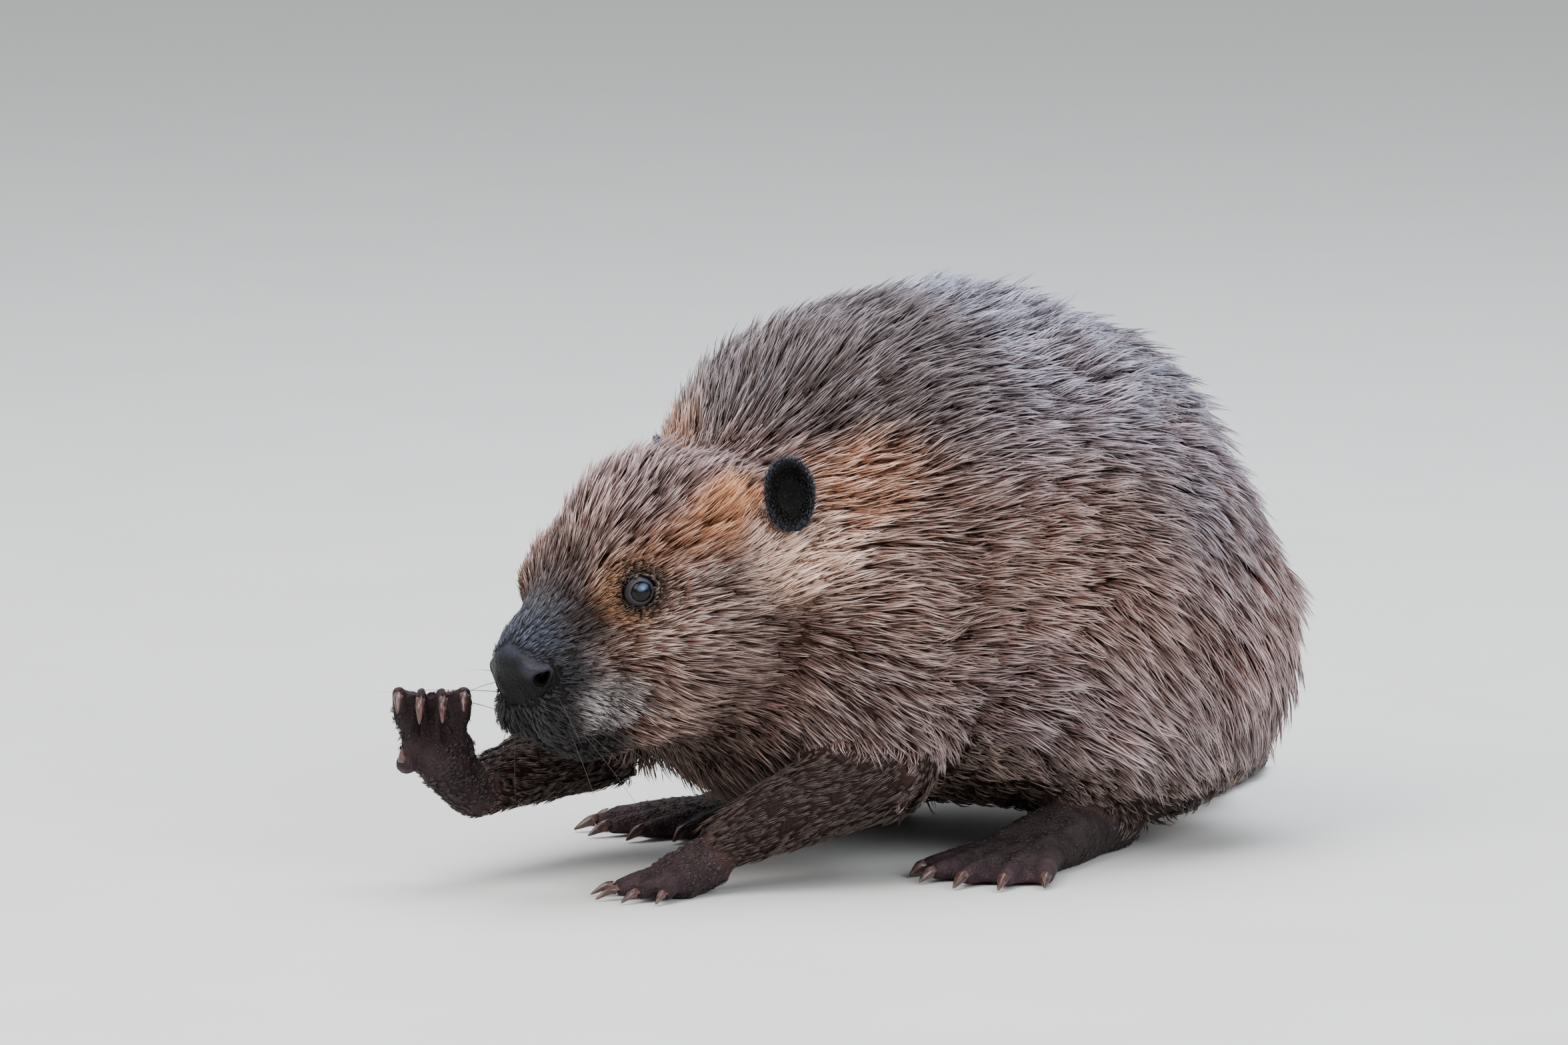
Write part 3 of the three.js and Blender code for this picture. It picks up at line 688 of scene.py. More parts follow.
def shapeLids(points, side, node):  # a rolled rim round the opening, over the ball, and a crease outside it
    low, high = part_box(node)
    radius = (high.z - low.z) / 2 / mm
    axis, level, upright = eyeFrame(side)
    offset = (points - middle(node)) / mm
    depthNow = offset @ axis
    across, upwards = offset @ level, offset @ upright
    ring = np.sqrt((across / eyeShape["halfWidth"]) ** 2 + (upwards / eyeShape["halfHeight"]) ** 2)
    reach = np.hypot(across, upwards)
    near = (np.linalg.norm(offset, axis=1) < 26) & (depthNow > -9)
    ball = np.sqrt(np.maximum(radius ** 2 - reach ** 2, 0))
    share = np.clip((ring - 1) / (eyeShape["rim"] - 1), 0, 1)
    lid = ball + eyeShape["lid"] * (0.25 + np.sqrt(np.maximum(1 - (2 * share - 1) ** 2, 0)))
    inside = ball - eyeShape["sunk"] * smooth(ring, 1.0, 0.8)
    target = np.where(ring < 1, np.minimum(inside, ball - 0.9), lid)
    beyond = np.maximum(ring - eyeShape["rim"], 0)
    target = np.where(beyond > 0, ball + 0.2 - 0.25 * beyond, target)
    pull = smooth(ring, 2.9, eyeShape["rim"] + 0.05) * near
    points += axis * ((target - depthNow) * pull)[:, None] * mm
    return np.where(near, ring, 9.0)


def treeOf(points):
    return BVHTree.FromPolygons([Vector(p) for p in points], [tuple(f.vertices) for f in skin.data.polygons])


def shapeNostril(points, side):
    tree = treeOf(points)
    aside, behind, above = nostril["place"]
    spot, normal, _, _ = tree.find_nearest(Vector(fromHead(side * aside, behind, above)))
    spot, normal = np.array(spot), unit(np.array(normal))
    level = unit(headBack - normal * (headBack @ normal))
    upright = np.cross(normal, level) * side
    offset = (points - spot) / mm
    across, upwards = offset @ level, offset @ upright
    risen = upwards - across * nostril["slant"] - 0.06 * across ** 2
    tall = nostril["halfHeight"] * (1 - 0.09 * across)
    ring = np.sqrt((across / nostril["halfWidth"]) ** 2 + (risen / np.maximum(tall, 0.8)) ** 2)
    near = np.linalg.norm(offset, axis=1) < 16
    hole = -nostril["deep"] * smooth(ring, 1.2, 0.3)
    wing = nostril["wing"] * np.exp(-((ring - nostril["wingAt"]) / 0.6) ** 2)
    wing *= 1 + 0.5 * np.sin(np.arctan2(upwards, -across))
    points += normal * ((hole + wing) * near)[:, None] * mm
    return np.where(near, ring, 9.0)


def shapeFingers(points):  # creases that part the fingers of the raised hand
    tips = [middle(f"fore_claw_right_{finger}") for finger in range(1, 5)]
    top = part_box("forepaw_right")[1].z
    onFingers = smooth(points[:, 2], top - fingers["rootsFrom"] * mm, top - fingers["tipsTo"] * mm)
    onFingers *= smooth(shares["forepaw_right"], 0.3, 0.8)
    for first, second in zip(tips[:-1], tips[1:]):
        row = unit((second - first) * (1, 1, 0))
        apart = (points - (first + second) / 2) @ row / mm
        crease = fingers["deep"] * np.exp(-(apart / fingers["halfWidth"]) ** 2)
        points -= outward * (crease * onFingers)[:, None] * mm


def distanceToLine(local, line):
    best = np.full(len(local), 1e9)
    for start, end in zip(line[:-1], line[1:]):
        start, end = np.array(start, float), np.array(end, float)
        along = np.clip((local - start) @ (end - start) / ((end - start) @ (end - start)), 0, 1)
        best = np.minimum(best, np.linalg.norm(local - start - along[:, None] * (end - start), axis=1))
    return best


def shapeLips(points):
    local = inHead(points)
    folded = np.stack([np.abs(local[:, 0]), local[:, 1], local[:, 2]], axis=1)
    seam = distanceToLine(folded, lips["line"])
    cleft = distanceToLine(folded, cleftLine)
    wing = distanceToLine(folded, wingLine)
    push = -lips["deep"] * np.exp(-(seam / 1.7) ** 2) + lips["roll"] * np.exp(-((seam - 4.5) / 2.4) ** 2)
    push -= lips["cleftDeep"] * np.exp(-(cleft / 1.2) ** 2)
    push -= lips["wingDeep"] * np.exp(-(wing / 1.9) ** 2)
    points += outward * push[:, None] * mm
    return seam, cleft


def shapeEar(points, node, side):  # a cup inside the rim
    facing, rim = earFrame(node, side)
    cup = smooth(rim, 0.9, 0.35) * smooth(outward @ facing, -0.1, 0.5) * smooth(shares[node], 0.3, 0.6)
    points -= facing * (earCup["deep"] * cup)[:, None] * mm
    # the inside of the cup is painted darker, as the shade that falls in the hollow
    hair["tint"] *= 1 - earCup["paintedCupShade"] * cup[:, None]


for node, side in earSides.items():
    shapeEar(inner, node, side)
shapeFingers(inner)
eyeRing = np.minimum(shapeLids(inner, 1, "eye_left"), shapeLids(inner, -1, "eye_right"))
noseRing = np.minimum(shapeNostril(inner, 1), shapeNostril(inner, -1))
seam, cleft = shapeLips(inner)
inner[:, 2] = np.maximum(inner[:, 2], floorGap)
writePoints(skin.data, inner)


def tintTowards(colour, mask):
    hair["tint"] += (colour - hair["tint"]) * mask[:, None]


tintTowards(hue(38, 27, 25), smooth(eyeRing, 3.0, 1.9))
tintTowards(hue(46, 46, 51), smooth(eyeRing, 1.52, 1.3))
tintTowards(hue(18, 15, 16), smooth(eyeRing, 1.16, 1.0))
tintTowards(hue(16, 14, 15), np.maximum(smooth(noseRing, 1.5, 0.9), smooth(seam, 2.6, 1.0)))
tintTowards(hue(18, 17, 18), smooth(cleft, 2.2, 0.6) * 0.8)
shorter = 0.35 + 0.65 * smooth(eyeRing, 1.7, 5.0)
hair["length"] *= shorter
hair["cover"] *= smooth(eyeRing, 1.45, 1.6) * smooth(noseRing, 1.6, 1.9) * smooth(seam, 1.0, 2.2) / shorter
hair["cover"] *= smooth(padShare, 0.75, 0.6)
for key in ("tint", "tip"):
    hair[key] *= 1 - 0.45 * smooth(eyeRing, 3.4, 1.9)[:, None] * smooth(eyeRing, 1.5, 1.7)[:, None]
print("lids, nostrils and lips shaped")


def unwrap(obj):
    bpy.context.view_layer.objects.active = obj
    obj.select_set(True)
    obj.data.uv_layers.new(name="grow_map")
    bpy.ops.object.mode_set(mode="EDIT")
    bpy.ops.mesh.select_all(action="SELECT")
    bpy.ops.uv.smart_project(angle_limit=math.radians(70), island_margin=0.002)
    bpy.ops.object.mode_set(mode="OBJECT")
    obj.select_set(False)


def skinFinish():
    fixed = {"Specular IOR Level": 0.1, "Coat Roughness": 0.32}
    material, board, shader = newFinish("hide_and_leather", fixed)
    place = objectPlace(board)
    tint = board.named("tint", "Color")
    bare, nose, wet = board.named("bare"), board.named("noseShare"), board.named("wet")
    mottle = board.noise(place, 130, 4)
    pores = board.cells(place, 620, "SMOOTH_F1", Smoothness=0.3, Randomness=0.9)
    wrinkles = board.cells(place, 420, "DISTANCE_TO_EDGE")
    fibres = board.noise(place, 900, 2)
    furry = board.mix(board.span(fibres, 0.3, 0.7), (0.22, 0.19, 0.18), (0.5, 0.46, 0.45))
    leathery = board.mix(board.span(mottle, 0.3, 0.75), (0.72, 0.7, 0.7), (1.3, 1.25, 1.24))
    shadeOf = board.mix(bare.most(wet), furry, leathery)
    colour = board.mix(1.0, tint, shadeOf, "MULTIPLY")
    bumps = nose * (1 - pores) * 2.2 + (bare - nose) * board.span(wrinkles, 0.0, 0.25)
    bumps = bumps + (1 - bare) * fibres * 0.5
    bump = board.bump(bumps, 0.7, 0.6 * mm)
    rough = 0.62 - nose * 0.2 - wet * 0.16 + mottle * 0.1
    feed(board, shader, Base_Color=colour, Roughness=rough, Normal=bump,
         Coat_Weight=board.named("sheen") * 0.2)
    return material


unwrap(skin)
skinValues = {
    "tint": withAlpha(hair["tint"]), "tipTint": withAlpha(hair["tip"]), "bare": hair["bare"],
    "noseShare": padShare, "wet": smooth(eyeRing, 1.8, 1.5),
    "sheen": np.maximum(smooth(eyeRing, 1.8, 1.5), padShare * smooth(above, -9, 2)),
    "grow_lie": lie, "grow_length": hair["length"] * mm, "grow_girth": hair["girth"] * mm,
    "grow_rise": hair["rise"], "grow_cover": hair["cover"] * 1e4}
for key, values in skinValues.items():
    keep(skin.data, key, values)
skin.data.materials.append(skinFinish())
print("skin unwrapped and finished")


# Strands and long ones in a lock, its spread at the root in girths, how far it gathers to a point, its bow.
lockKinds = {
    "short": {"strands": 4, "long": 0, "spread": 1.9, "gather": 0.3, "bow": 0.8, "stray": 0.5},
    "fine": {"strands": 5, "long": 2, "spread": 2.4, "gather": 0.7, "bow": 1.8, "stray": 0.7},
    "loose": {"strands": 5, "long": 2, "spread": 3.0, "gather": 0.7, "bow": 2.4, "stray": 0.8},
    "clump": {"strands": 6, "long": 3, "spread": 3.6, "gather": 0.88, "bow": 2.8, "stray": 0.55},
}
lockVariants = 9
planting = {  # for every piece; a pair is the least and most that a lock's own size is changed by
    "rise": (0.5, 1.4), "girth": (0.7, 1.25), "length": (0.7, 1.15), "roll": 0.35, "swirlScale": 70.0,
    "lowest": 0.5 * mm, "patch": 0.003}  # the patch is how far a lock reaches over the unwrap


def lockShape(name, kind, random):  # tapered strands; X runs from root to tip, Y and Z are in girths
    points, faces, along, strand, patch = [], [], [], [], []
    for index, place in enumerate(random.permutation(kind["strands"])):
        long = index < kind["long"]
        rootY = ((place + 0.5) / kind["strands"] * 2 - 1) * kind["spread"] + random.normal(0, 0.3)
        tipY = rootY * (1 - kind["gather"]) + random.normal(0, kind["stray"])
        rootX = random.uniform(-0.04, 0.1)
        tipX = random.uniform(0.84, 1.0) if long or not kind["long"] else random.uniform(0.5, 0.72)
        bow = kind["bow"] * random.uniform(0.7, 1.2) * (1.0 if long else 0.75)
        swing, tipZ = random.normal(0, 0.7), random.normal(0.1, kind["stray"] * 0.7)
        rings = ((0.28, 0.5), (0.66, 0.42)) if long else ((0.4, 0.5),)
        start, roll = len(points), random.uniform(0, 2.1)
        points.append((rootX, rootY, -1.4))
        along.append(0)
        for share, reach in rings:
            x = rootX + (tipX - rootX) * share
            y = rootY + (tipY - rootY) * share ** 1.4 + swing * math.sin(math.pi * share)
            z = bow * math.sin(math.pi * share ** 0.8) + tipZ * share
            for turn in range(3):
                angle = roll + turn * 2 * math.pi / 3
                points.append((x, y + reach * math.cos(angle), z + reach * math.sin(angle)))
                along.append(x)
        points.append((tipX, tipY, tipZ))
        along.append(tipX)
        last = len(points) - 1
        for turn in range(3):
            here, after = start + 1 + turn, start + 1 + (turn + 1) % 3
            faces.append((after, here, start))
            if long:
                faces.append((here, after, after + 3, here + 3))
            faces.append((here + 3, after + 3, last) if long else (here, after, last))
        tone = random.uniform(0.55, 1.0) if long else random.uniform(0.0, 0.45 if kind["long"] else 1.0)
        strand += [tone] * (last + 1 - start)
        patch += [(p[0] - 0.5, p[1] / kind["spread"] / 3, 0) for p in points[start:]]
    values = {"along": np.array(along, float), "strand": np.array(strand, float),
              "grow_patch": np.array(patch)}
    return newObject(name, points, faces, values)


def lockCollections():
    made = {}
    random = np.random.default_rng(21)
    for kindName, kind in lockKinds.items():
        made[kindName] = bpy.data.collections.new(kindName)
        for index in range(lockVariants):
            made[kindName].objects.link(lockShape(f"{kindName}_{index}", kind, random))
    return made


def openTree(name, sockets, outName):
    tree = bpy.data.node_groups.new(name, "GeometryNodeTree")
    for label, kind in sockets.items():
        tree.interface.new_socket(name=label, in_out="INPUT", socket_type="NodeSocket" + kind)
    tree.interface.new_socket(name=outName, in_out="OUTPUT", socket_type="NodeSocketGeometry")
    board = Board(tree)
    entry = tree.nodes.new("NodeGroupInput")
    given = {label: Wire(board, entry.outputs[label]) for label in sockets}
    return tree, board, given


def readNamed(board, name, kind="FLOAT"):
    return board.add("GeometryNodeInputNamedAttribute", {"data_type": kind}, {"Name": name})


def between(board, low, high, seed):
    kind, first = ("FLOAT_VECTOR", 0) if isinstance(low, tuple) else ("FLOAT", 1)
    return board.add("FunctionNodeRandomValue", {"data_type": kind},
                     {2 * first: low, 2 * first + 1: high, "Seed": seed}, first)


def store(board, geometry, name, value, kind="FLOAT", domain="POINT"):
    return board.add("GeometryNodeStoreNamedAttribute", {"data_type": kind, "domain": domain},
                     {"Geometry": geometry, "Name": name, "Value": value})


def closeTree(board, geometry, finish):  # given its finish, and clean of what was only for growing
    geometry = board.add("GeometryNodeRemoveAttribute", {"pattern_mode": "WILDCARD"},
                         {"Geometry": geometry, "Name": "grow_*"})
    geometry = board.add("GeometryNodeSetMaterial", None, {"Geometry": geometry, "Material": finish})
    exitNode = board.tree.nodes.new("NodeGroupOutput")
    board.tree.links.new(geometry.socket, exitNode.inputs[0])


def coatTree():
    tree, board, given = openTree("plant_coat", {
        "Skin": "Geometry", "Plot": "Int", "Thickness": "Float", "Stray": "Float", "Swirl": "Float",
        "Swirl Scale": "Float", "Locks": "Collection", "Seed": "Int", "Lowest": "Float", "Patch": "Float",
        "Finish": "Material"}, "Coat")
    here = board.add("FunctionNodeCompare", {"data_type": "INT", "operation": "EQUAL"},
                     {2: readNamed(board, "grow_plot", "INT"), 3: given["Plot"]})
    density = readNamed(board, "grow_cover") * given["Thickness"]
    points, normal = board.add("GeometryNodeDistributePointsOnFaces", None, {
        "Mesh": given["Skin"], "Selection": here, "Density": density, "Seed": given["Seed"]},
        ("Points", "Normal"))
    points = store(board, points, "shade", between(board, 0.0, 1.0, 5))
    jitter = board.vector("SCALE", between(board, (-1, -1, -1), (1, 1, 1), 6), given["Stray"])
    swirl = board.add("ShaderNodeTexNoise", None, {"Scale": given["Swirl Scale"], "Detail": 1.0}, "Color")
    swirl = board.vector("SCALE", board.vector("SUBTRACT", swirl, (0.5, 0.5, 0.5)), given["Swirl"])
    rise = readNamed(board, "grow_rise") * between(board, *planting["rise"], 7)
    lifted = board.vector("SCALE", normal, rise)
    aim = readNamed(board, "grow_lie", "FLOAT_VECTOR")
    for change in (lifted, jitter, swirl):
        aim = board.vector("ADD", aim, change)
    roll = planting["roll"]
    lean = board.vector("ADD", normal, between(board, (-roll, -roll, -roll), (roll, roll, roll), 8))
    turned = board.add("FunctionNodeAxesToRotation", {"primary_axis": "X", "secondary_axis": "Z"},
                       {"Primary Axis": aim, "Secondary Axis": lean})
    girth = readNamed(board, "grow_girth") * between(board, *planting["girth"], 9)
    length = readNamed(board, "grow_length") * between(board, *planting["length"], 10)
    size = board.add("ShaderNodeCombineXYZ", None, {"X": length, "Y": girth, "Z": girth})
    kinds = board.add("GeometryNodeCollectionInfo", None,
                      {"Collection": given["Locks"], "Separate Children": True, "Reset Children": True})
    pick = board.add("FunctionNodeRandomValue", {"data_type": "INT"},
                     {4: 0, 5: lockVariants - 1, "Seed": 11}, 2)
    locks = board.add("GeometryNodeInstanceOnPoints", None, {
        "Points": points, "Instance": kinds, "Pick Instance": True, "Instance Index": pick,
        "Rotation": turned, "Scale": size})
    coat = board.add("GeometryNodeRealizeInstances", None, {"Geometry": locks})
    place = board.add("GeometryNodeInputPosition")
    x, y, z = board.add("ShaderNodeSeparateXYZ", None, {"Vector": place}, (0, 1, 2))
    raised = z.most(given["Lowest"])
    clear = board.add("ShaderNodeCombineXYZ", None, {"X": x, "Y": y, "Z": raised})
    coat = board.add("GeometryNodeSetPosition", None, {"Geometry": coat, "Position": clear})
    patch = board.vector("SCALE", readNamed(board, "grow_patch", "FLOAT_VECTOR"), given["Patch"])
    bake = board.vector("ADD", readNamed(board, "grow_map", "FLOAT_VECTOR"), patch)
    coat = store(board, coat, "OFBake", bake, "FLOAT2", "CORNER")
    closeTree(board, coat, given["Finish"])
    return tree


def furFinish():
    material, board, shader = newFinish("guard_hair", {"Specular IOR Level": 0.5})
    tint, tip = board.named("tint", "Color"), board.named("tipTint", "Color")
    along, shade, strand = board.named("along"), board.named("shade"), board.named("strand")
    root = board.mix(board.span(along, 0.0, 0.5), (0.26, 0.22, 0.21), (1.0, 1.0, 1.0))
    colour = board.mix(1.0, tint, root, "MULTIPLY")
    pale = board.span(along, 0.3, 1.0) * (strand * 0.7 + shade * 0.3)
    colour = board.mix(pale, colour, tip)
    colour = board.dimmed(colour, 0.6 + shade * 0.5 + strand * 0.5)
    feed(board, shader, Base_Color=colour, Roughness=0.46 - strand * 0.12)
    return material


mostInPiece = 156000  # triangles
# Where one piece ends: shares of the height and length, a downward slope, millimetres behind the nose tip.
borders = {"back": 0.74, "haunch": 0.56, "belly": -0.72, "muzzle": 46}


def bothSides(name, **plan):
    return {f"{name}_{side}": dict(plan) for side in ("left", "right")}


plots = {  # the pieces of the coat, each with its kind of lock and how much its hairs stray and swirl
    "coat_muzzle": {"locks": "fine", "stray": 0.12, "swirl": 0.4},
    **bothSides("coat_head", locks="fine", stray=0.14, swirl=0.75),
    **bothSides("coat_neck", locks="loose", stray=0.14, swirl=0.7),
    "coat_back": {"locks": "clump", "stray": 0.16, "swirl": 0.7},
    **bothSides("coat_flank", locks="clump", stray=0.14, swirl=0.75),
    **bothSides("coat_haunch", locks="clump", stray=0.14, swirl=0.75),
    "coat_belly": {"locks": "loose", "stray": 0.1, "swirl": 0.4, "share": 0.22},
    "coat_limbs": {"locks": "short", "stray": 0.1, "swirl": 0.3, "share": 0.78},
    "coat_ears": {"locks": "short", "stray": 0.25, "swirl": 0.2},
}


def markPlots():  # every face of the skin belongs to one piece of the coat
    mesh = skin.data
    count = len(mesh.polygons)
    centres = np.empty(count * 3)
    mesh.polygons.foreach_get("center", centres)
    centres = centres.reshape(-1, 3)
    first = np.array([p.vertices[0] for p in mesh.polygons])
    owner = np.array([names[i] for i in nearest[first]])
    local = inHead(centres)
    order = list(plots)
    plot = np.full(count, order.index("coat_back"))
    side = np.where(centres[:, 0] > noseTip[0] * 0.4, "left", "right")
    faceHeight, hind = height[first], rear[first] >= borders["haunch"]

    def mark(where, name):
        plot[where] = order.index(name)

    for which in ("left", "right"):
        low = (faceHeight < borders["back"]) & (side == which)
        mark(low & ~hind, f"coat_flank_{which}")
        mark(low & hind | (owner == "tail_root") & (side == which), f"coat_haunch_{which}")
        mark((owner == "head") & ((local[:, 0] > 0) == (which == "left")), f"coat_head_{which}")
    mark((outward[first][:, 2] < borders["belly"]) & (owner != "head"), "coat_belly")
    for which in ("left", "right"):
        mark((owner == "neck") & (side == which), f"coat_neck_{which}")
    mark((owner == "nose") | ((owner == "head") & (local[:, 1] < borders["muzzle"])), "coat_muzzle")
    mark(onNodes(nearest[first], "foreleg", "paw", "foot", "tail_blade"), "coat_limbs")
    mark(onNodes(nearest[first], "ear"), "coat_ears")
    keep(mesh, "grow_plot", plot.astype(np.int32), "FACE")
    areas = np.array([p.area for p in mesh.polygons])
    for index, plan in enumerate(plots.values()):
        kind = lockKinds[plan["locks"]]
        perLock = (kind["strands"] + kind["long"]) * 6  # triangles
        share = plan.get("share", 1)
        asked = float(np.sum((areas * hair["cover"][first])[plot == index])) * 1e4 * perLock * share
        plan["thickness"] = share * min(1, mostInPiece / asked) * 1


def setInputs(change, **values):
    for item in change.node_group.interface.items_tree:
        if item.item_type == "SOCKET" and item.in_out == "INPUT" and item.name.replace(" ", "_") in values:
            change[item.identifier] = values[item.name.replace(" ", "_")]


def triangles(obj):
    return len(obj.data.loops) - 2 * len(obj.data.polygons)


def growCoat():
    tree, finish, locks = coatTree(), furFinish(), lockCollections()
    total = 0
    for index, (name, plan) in enumerate(plots.items()):
        piece = bpy.data.objects.new(name, skin.data)
        scene.collection.objects.link(piece)
        change = piece.modifiers.new("plant", "NODES")
        change.node_group = tree
        setInputs(change, Plot=index, Thickness=plan["thickness"], Stray=plan["stray"],
                  Swirl=plan["swirl"], Swirl_Scale=planting["swirlScale"], Locks=locks[plan["locks"]],
                  Seed=31 + index, Lowest=planting["lowest"], Patch=planting["patch"], Finish=finish)
        applied(piece)
        total += triangles(piece)
        print(f"  {name}: {triangles(piece)} triangles")
        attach(piece, "root")
    print("coat grown:", total, "triangles")


markPlots()
growCoat()


# A bluish reflection of the sky, painted into the colour of the upper part of each eyeball; its place and
# half sizes are in millimetres.
bloom = {"back": 1.2, "up": 1.9, "halfWidth": 3.9, "halfHeight": 2.2, "tone": hue(74, 94, 120)}


def eyeFinish():
    material, board, shader = newFinish("wet_eye", {"Specular IOR Level": 0.16, "Coat Roughness": 0.04})
    ring = board.named("ring")
    place = objectPlace(board)
    streaks = board.noise(place, 700, 2)
    colour = board.add("ShaderNodeValToRGB", {"stops": [
        (0.0, (0.001, 0.001, 0.001)), (0.62, (0.002, 0.002, 0.002)), (0.74, hue(20, 14, 11)),
        (0.92, hue(24, 17, 13)), (1.0, hue(9, 7, 7))]}, {0: ring + (streaks - 0.5) * 0.06})
    # the painted reflection laid over the eye's own colours
    colour = board.mix(board.named("bloom"), colour, bloom["tone"])
    rough = board.span(streaks, 0.2, 0.8, 0.06, 0.12)
    feed(board, shader, Base_Color=colour, Roughness=rough, Coat_Weight=board.span(ring, 1.2, 0.95) * 0.05)
    return material


def makeEye(node, side, finish):
    low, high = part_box(node)
    radius = (high.z - low.z) / 2
    axis, level, upright = eyeFrame(side)
    shape = bmesh.new()
    bmesh.ops.create_uvsphere(shape, u_segments=48, v_segments=32, radius=1)
    ball = bpy.data.meshes.new(node + "_ball")
    shape.to_mesh(ball)
    shape.free()
    points = readPoints(ball)
    angle = np.degrees(np.arccos(np.clip(points[:, 2], -1, 1)))
    points *= (radius * (1 + 0.04 * smooth(angle, 36, 6)))[:, None]
    turned = points @ np.stack([level, np.cross(axis, level), axis])
    writePoints(ball, turned + middle(node))
    # where the painted reflection lies on the ball, on its front half only
    across, upwards = turned @ level / mm - bloom["back"], turned @ upright / mm - bloom["up"]
    reach = np.hypot(across / bloom["halfWidth"], upwards / bloom["halfHeight"])
    keep(ball, "bloom", smooth(reach, 1, 0.3) * (angle < 60))
    ball.polygons.foreach_set("use_smooth", [True] * len(ball.polygons))
    keep(ball, "ring", np.sin(np.radians(np.minimum(angle, 90))) * radius / mm / eyeShape["halfWidth"])
    ball.materials.append(finish)
    eye = bpy.data.objects.new(node + "_ball", ball)
    scene.collection.objects.link(eye)
    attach(eye, "root")
    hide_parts(node)


eyeLook = eyeFinish()
makeEye("eye_left", 1, eyeLook)
makeEye("eye_right", -1, eyeLook)
print("eyes made")


claws = {"levels": 2, "horn": hue(72, 48, 44), "tip": hue(116, 86, 79)}


def hornFinish():
    material, board, shader = newFinish("horn", {"Specular IOR Level": 0.4, "Coat Roughness": 0.15})
    place = objectPlace(board)
    grain = board.noise(place, 420, 4, Roughness=0.6)
    patchy = board.noise(place, 90, 3)
    colour = board.mix(board.span(patchy, 0.35, 0.68), claws["horn"] * 0.5, claws["horn"])
    colour = board.mix(board.span(grain, 0.4, 0.75) * 0.6, colour, claws["tip"])
    bump = board.bump(grain, 0.3, 0.3 * mm)
    feed(board, shader, Base_Color=colour, Roughness=0.22 + grain * 0.2, Normal=bump,
         Coat_Weight=patchy * 0.35)
    return material


def makeClaws(limb, side, finish):
    nodes = sorted(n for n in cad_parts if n.startswith(f"{limb}_claw_{side}"))
    shape = bmesh.new()
    for node in nodes:
        shape.from_mesh(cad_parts[node].data)
    bmesh.ops.remove_doubles(shape, verts=shape.verts, dist=weldReach)
    mesh = bpy.data.meshes.new(f"{limb}_claws_{side}")
    shape.to_mesh(mesh)
    shape.free()
    mesh.polygons.foreach_set("use_smooth", [True] * len(mesh.polygons))
    mesh.materials.clear()
    mesh.materials.append(finish)
    piece = bpy.data.objects.new(mesh.name, mesh)
    scene.collection.objects.link(piece)
    soft = piece.modifiers.new("round", "SUBSURF")
    soft.levels = claws["levels"]
    soft.render_levels = claws["levels"]
    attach(piece, "root")
    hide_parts(*nodes)


horn = hornFinish()
for limb in ("fore", "hind"):
    for side in ("left", "right"):
        makeClaws(limb, side, horn)
print("claws made")


# Sizes in millimetres, but a scale's half length and half width are shares of the space it has.
tailScale = {"along": 7.2, "across": 5.6, "high": 0.75, "overFloor": 1.2, "halfLength": 0.37,
             "halfWidth": 0.56}
whisker = {"rows": 4, "perRow": 6, "behind": 16, "below": 13, "apart": 5, "rowGap": 6.5,
           "length": (34, 68), "thick": 0.5, "steps": 7, "bend": 11}


def joinRings(first, corners, gaps):  # the faces between rings of points that follow one another
    faces = []
    for ring in range(gaps):
        for corner in range(corners):
            here = first + ring * corners + corner
            after = first + ring * corners + (corner + 1) % corners
            faces.append((here, after, after + corners, here + corners))
    return faces


def closeRing(first, corners, tip):  # the faces from a ring to one point
    return [(first + corner, first + (corner + 1) % corners, tip) for corner in range(corners)]


def scaleShape():  # a low six-sided dome whose rear edge stands up a little
    points = []
    for ring, (reach, level) in enumerate(((1.0, -0.5), (0.93, 0.35), (0.55, 0.85))):
        for corner in range(6):
            angle = math.pi / 6 + corner * math.pi / 3
            x, y = reach * math.cos(angle), reach * math.sin(angle)
            points.append((x, y, level + (0.25 * x if ring else 0)))
    points.append((0, 0, 1.0))
    faces = [tuple(reversed(range(6)))] + joinRings(0, 6, 2) + closeRing(12, 6, 18)
    return newObject("scale", points, faces, {"along": np.array([0.0] * 6 + [0.4] * 6 + [0.8] * 6 + [1.0])})


def whiskerShape():  # one tapered hair with a slow bend; X is its length, Y and Z its thickness
    points, along = [(0, 0, 0)], [0.0]
    for step in range(whisker["steps"]):
        x = 0.03 + step / whisker["steps"]
        for turn in range(3):
            angle = turn * 2 * math.pi / 3
            reach = 0.5 * (1 - 0.8 * x)
            points.append((x, reach * math.cos(angle), reach * math.sin(angle) - whisker["bend"] * x ** 2))
            along.append(x)
    points.append((1.08, 0, -whisker["bend"] * 1.08 ** 2))
    along.append(1.0)
    faces = [(after, here, root) for here, after, root in closeRing(1, 3, 0)]
    faces += joinRings(1, 3, whisker["steps"] - 1)
    faces += closeRing(len(points) - 4, 3, len(points) - 1)
    return newObject("whisker", points, faces, {"along": np.array(along)})


def studTree():  # one shape set on every point of a mesh, by the point's own attributes
    tree, board, given = openTree("set_on_points", {
        "Points": "Geometry", "Shape": "Object", "Seed": "Int", "Finish": "Material"}, "Studs")
    shape = board.add("GeometryNodeObjectInfo", None, {"Object": given["Shape"]}, "Geometry")
    points = store(board, given["Points"], "shade", between(board, 0.0, 1.0, given["Seed"]))
    turned = board.add("FunctionNodeAxesToRotation", {"primary_axis": "X", "secondary_axis": "Z"}, {
        "Primary Axis": readNamed(board, "grow_aim", "FLOAT_VECTOR"),
        "Secondary Axis": readNamed(board, "grow_up", "FLOAT_VECTOR")})
    studs = board.add("GeometryNodeInstanceOnPoints", None, {
        "Points": points, "Instance": shape, "Rotation": turned,
        "Scale": readNamed(board, "grow_size", "FLOAT_VECTOR")})
    studs = board.add("GeometryNodeRealizeInstances", None, {"Geometry": studs})
    closeTree(board, studs, given["Finish"])
    return tree


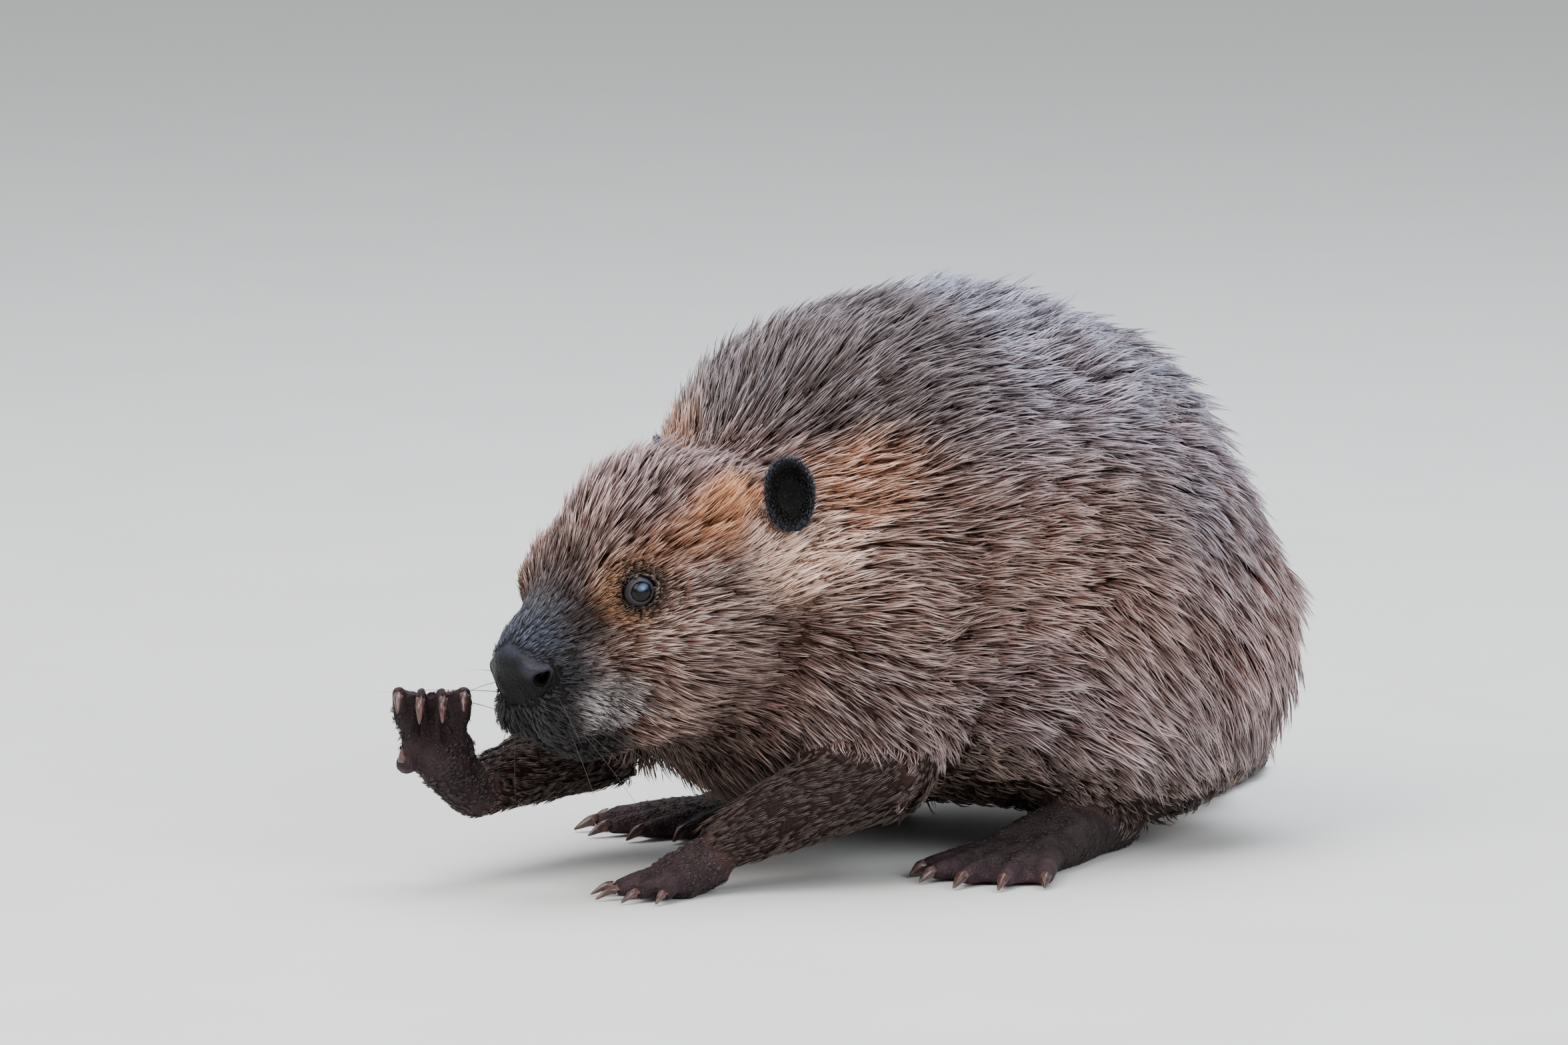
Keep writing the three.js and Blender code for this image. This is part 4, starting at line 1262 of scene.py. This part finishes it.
def setOnPoints(name, tree, shape, spots, aims, ups, sizes, finish, seed):
    piece = newObject(name, spots, [], {"grow_aim": np.array(aims), "grow_up": np.array(ups),
                                        "grow_size": np.array(sizes)})
    scene.collection.objects.link(piece)
    change = piece.modifiers.new("set", "NODES")
    change.node_group = tree
    setInputs(change, Shape=shape, Seed=seed, Finish=finish)
    applied(piece)
    points = readPoints(piece.data)
    points[:, 2] = np.maximum(points[:, 2], floorGap)
    writePoints(piece.data, points)
    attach(piece, "root")
    print(f"{name}: {triangles(piece)} triangles")
    return piece


def scaleSpots(tree):  # staggered rows over the top and the underside of the blade
    low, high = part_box("tail_blade")
    random = np.random.default_rng(8)
    spots, aims, ups, sizes = [], [], [], []
    rows = int((high.y - low.y) / (tailScale["along"] * 0.5 * mm)) + 1
    columns = int((high.x - low.x) / (tailScale["across"] * mm)) + 2
    for row in range(rows):
        for column in range(columns):
            x = low.x + (column + 0.5 * (row % 2)) * tailScale["across"] * mm
            y = low.y + row * tailScale["along"] * 0.5 * mm
            for face in (1, -1):
                spot, normal, index, _ = tree.ray_cast(Vector((x, y, 0.03 if face > 0 else -0.01)),
                                                       Vector((0, 0, -face)), 0.06)
                if spot is None or normal.z * face < 0.25 or faceTail[index] < 0.55:
                    continue
                if spot.z < tailScale["overFloor"] * mm:
                    continue
                size = random.uniform(0.9, 1.05) * mm
                spots.append(spot)
                ups.append(normal)
                aims.append(Vector((0.06 * random.normal(), 1, 0)) - normal * normal.y)
                sizes.append((tailScale["along"] * tailScale["halfLength"] * size,
                              tailScale["across"] * tailScale["halfWidth"] * size, tailScale["high"] * mm))
    return spots, aims, ups, sizes


def whiskerSpots(tree):
    random = np.random.default_rng(17)
    spots, aims, ups, sizes = [], [], [], []
    for side in (1, -1):
        for row in range(whisker["rows"]):
            for place in range(whisker["perRow"]):
                behind = whisker["behind"] + place * whisker["apart"] + random.uniform(-1, 1)
                above = -whisker["below"] - row * whisker["rowGap"] + random.uniform(-1, 1)
                start = Vector(fromHead(side * 60, behind, above))
                spot, normal, _, _ = tree.ray_cast(start, Vector(-side * headLeft), 0.08)
                if spot is None:
                    continue
                aim = np.array(normal) * 0.6 + headBack * (0.1 + 0.22 * place) - headUp * (0.1 + 0.16 * row)
                spots.append(spot - normal * 0.6 * mm)
                aims.append(unit(aim + random.normal(0, 0.08, 3)))
                ups.append(headUp)
                length = random.uniform(*whisker["length"]) * mm
                sizes.append((length, whisker["thick"] * mm, whisker["thick"] * mm))
    return spots, aims, ups, sizes


def scaleFinish():
    material, board, shader = newFinish("tail_leather", {"Specular IOR Level": 0.45})
    place = objectPlace(board)
    along, shade = board.named("along"), board.named("shade")
    fine = board.noise(place, 900, 3)
    patchy = board.noise(place, 45, 3)
    colour = board.mix(board.span(patchy, 0.35, 0.65), hue(50, 46, 48), hue(82, 74, 72))
    # each scale is painted darker towards its rim, as shade where it meets the skin, and varied at random
    # from scale to scale
    colour = board.dimmed(colour, (0.5 + along * 0.5) * (0.8 + shade * 0.35))
    bump = board.bump(fine, 0.4, 0.3 * mm)
    feed(board, shader, Base_Color=colour, Roughness=0.42 + fine * 0.2, Normal=bump)
    return material


def whiskerFinish():
    material, board, shader = newFinish("whisker_hair", {"Specular IOR Level": 0.5})
    along, shade = board.named("along"), board.named("shade")
    colour = board.mix(along * shade, hue(26, 21, 20), hue(110, 92, 80))
    feed(board, shader, Base_Color=colour, Roughness=0.3 + shade * 0.15)
    return material


skinTree = treeOf(readPoints(skin.data))
faceTail = shares["tail_blade"][[f.vertices[0] for f in skin.data.polygons]]
studs = studTree()
scales = setOnPoints("tail_scales", studs, scaleShape(), *scaleSpots(skinTree), scaleFinish(), 3)
whiskers = setOnPoints("whiskers", studs, whiskerShape(), *whiskerSpots(skinTree), whiskerFinish(), 4)


for attribute in [a.name for a in skin.data.attributes if a.name.startswith("grow_")]:
    skin.data.attributes.remove(skin.data.attributes[attribute])
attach(skin, "root")
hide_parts(*fleshNodes())
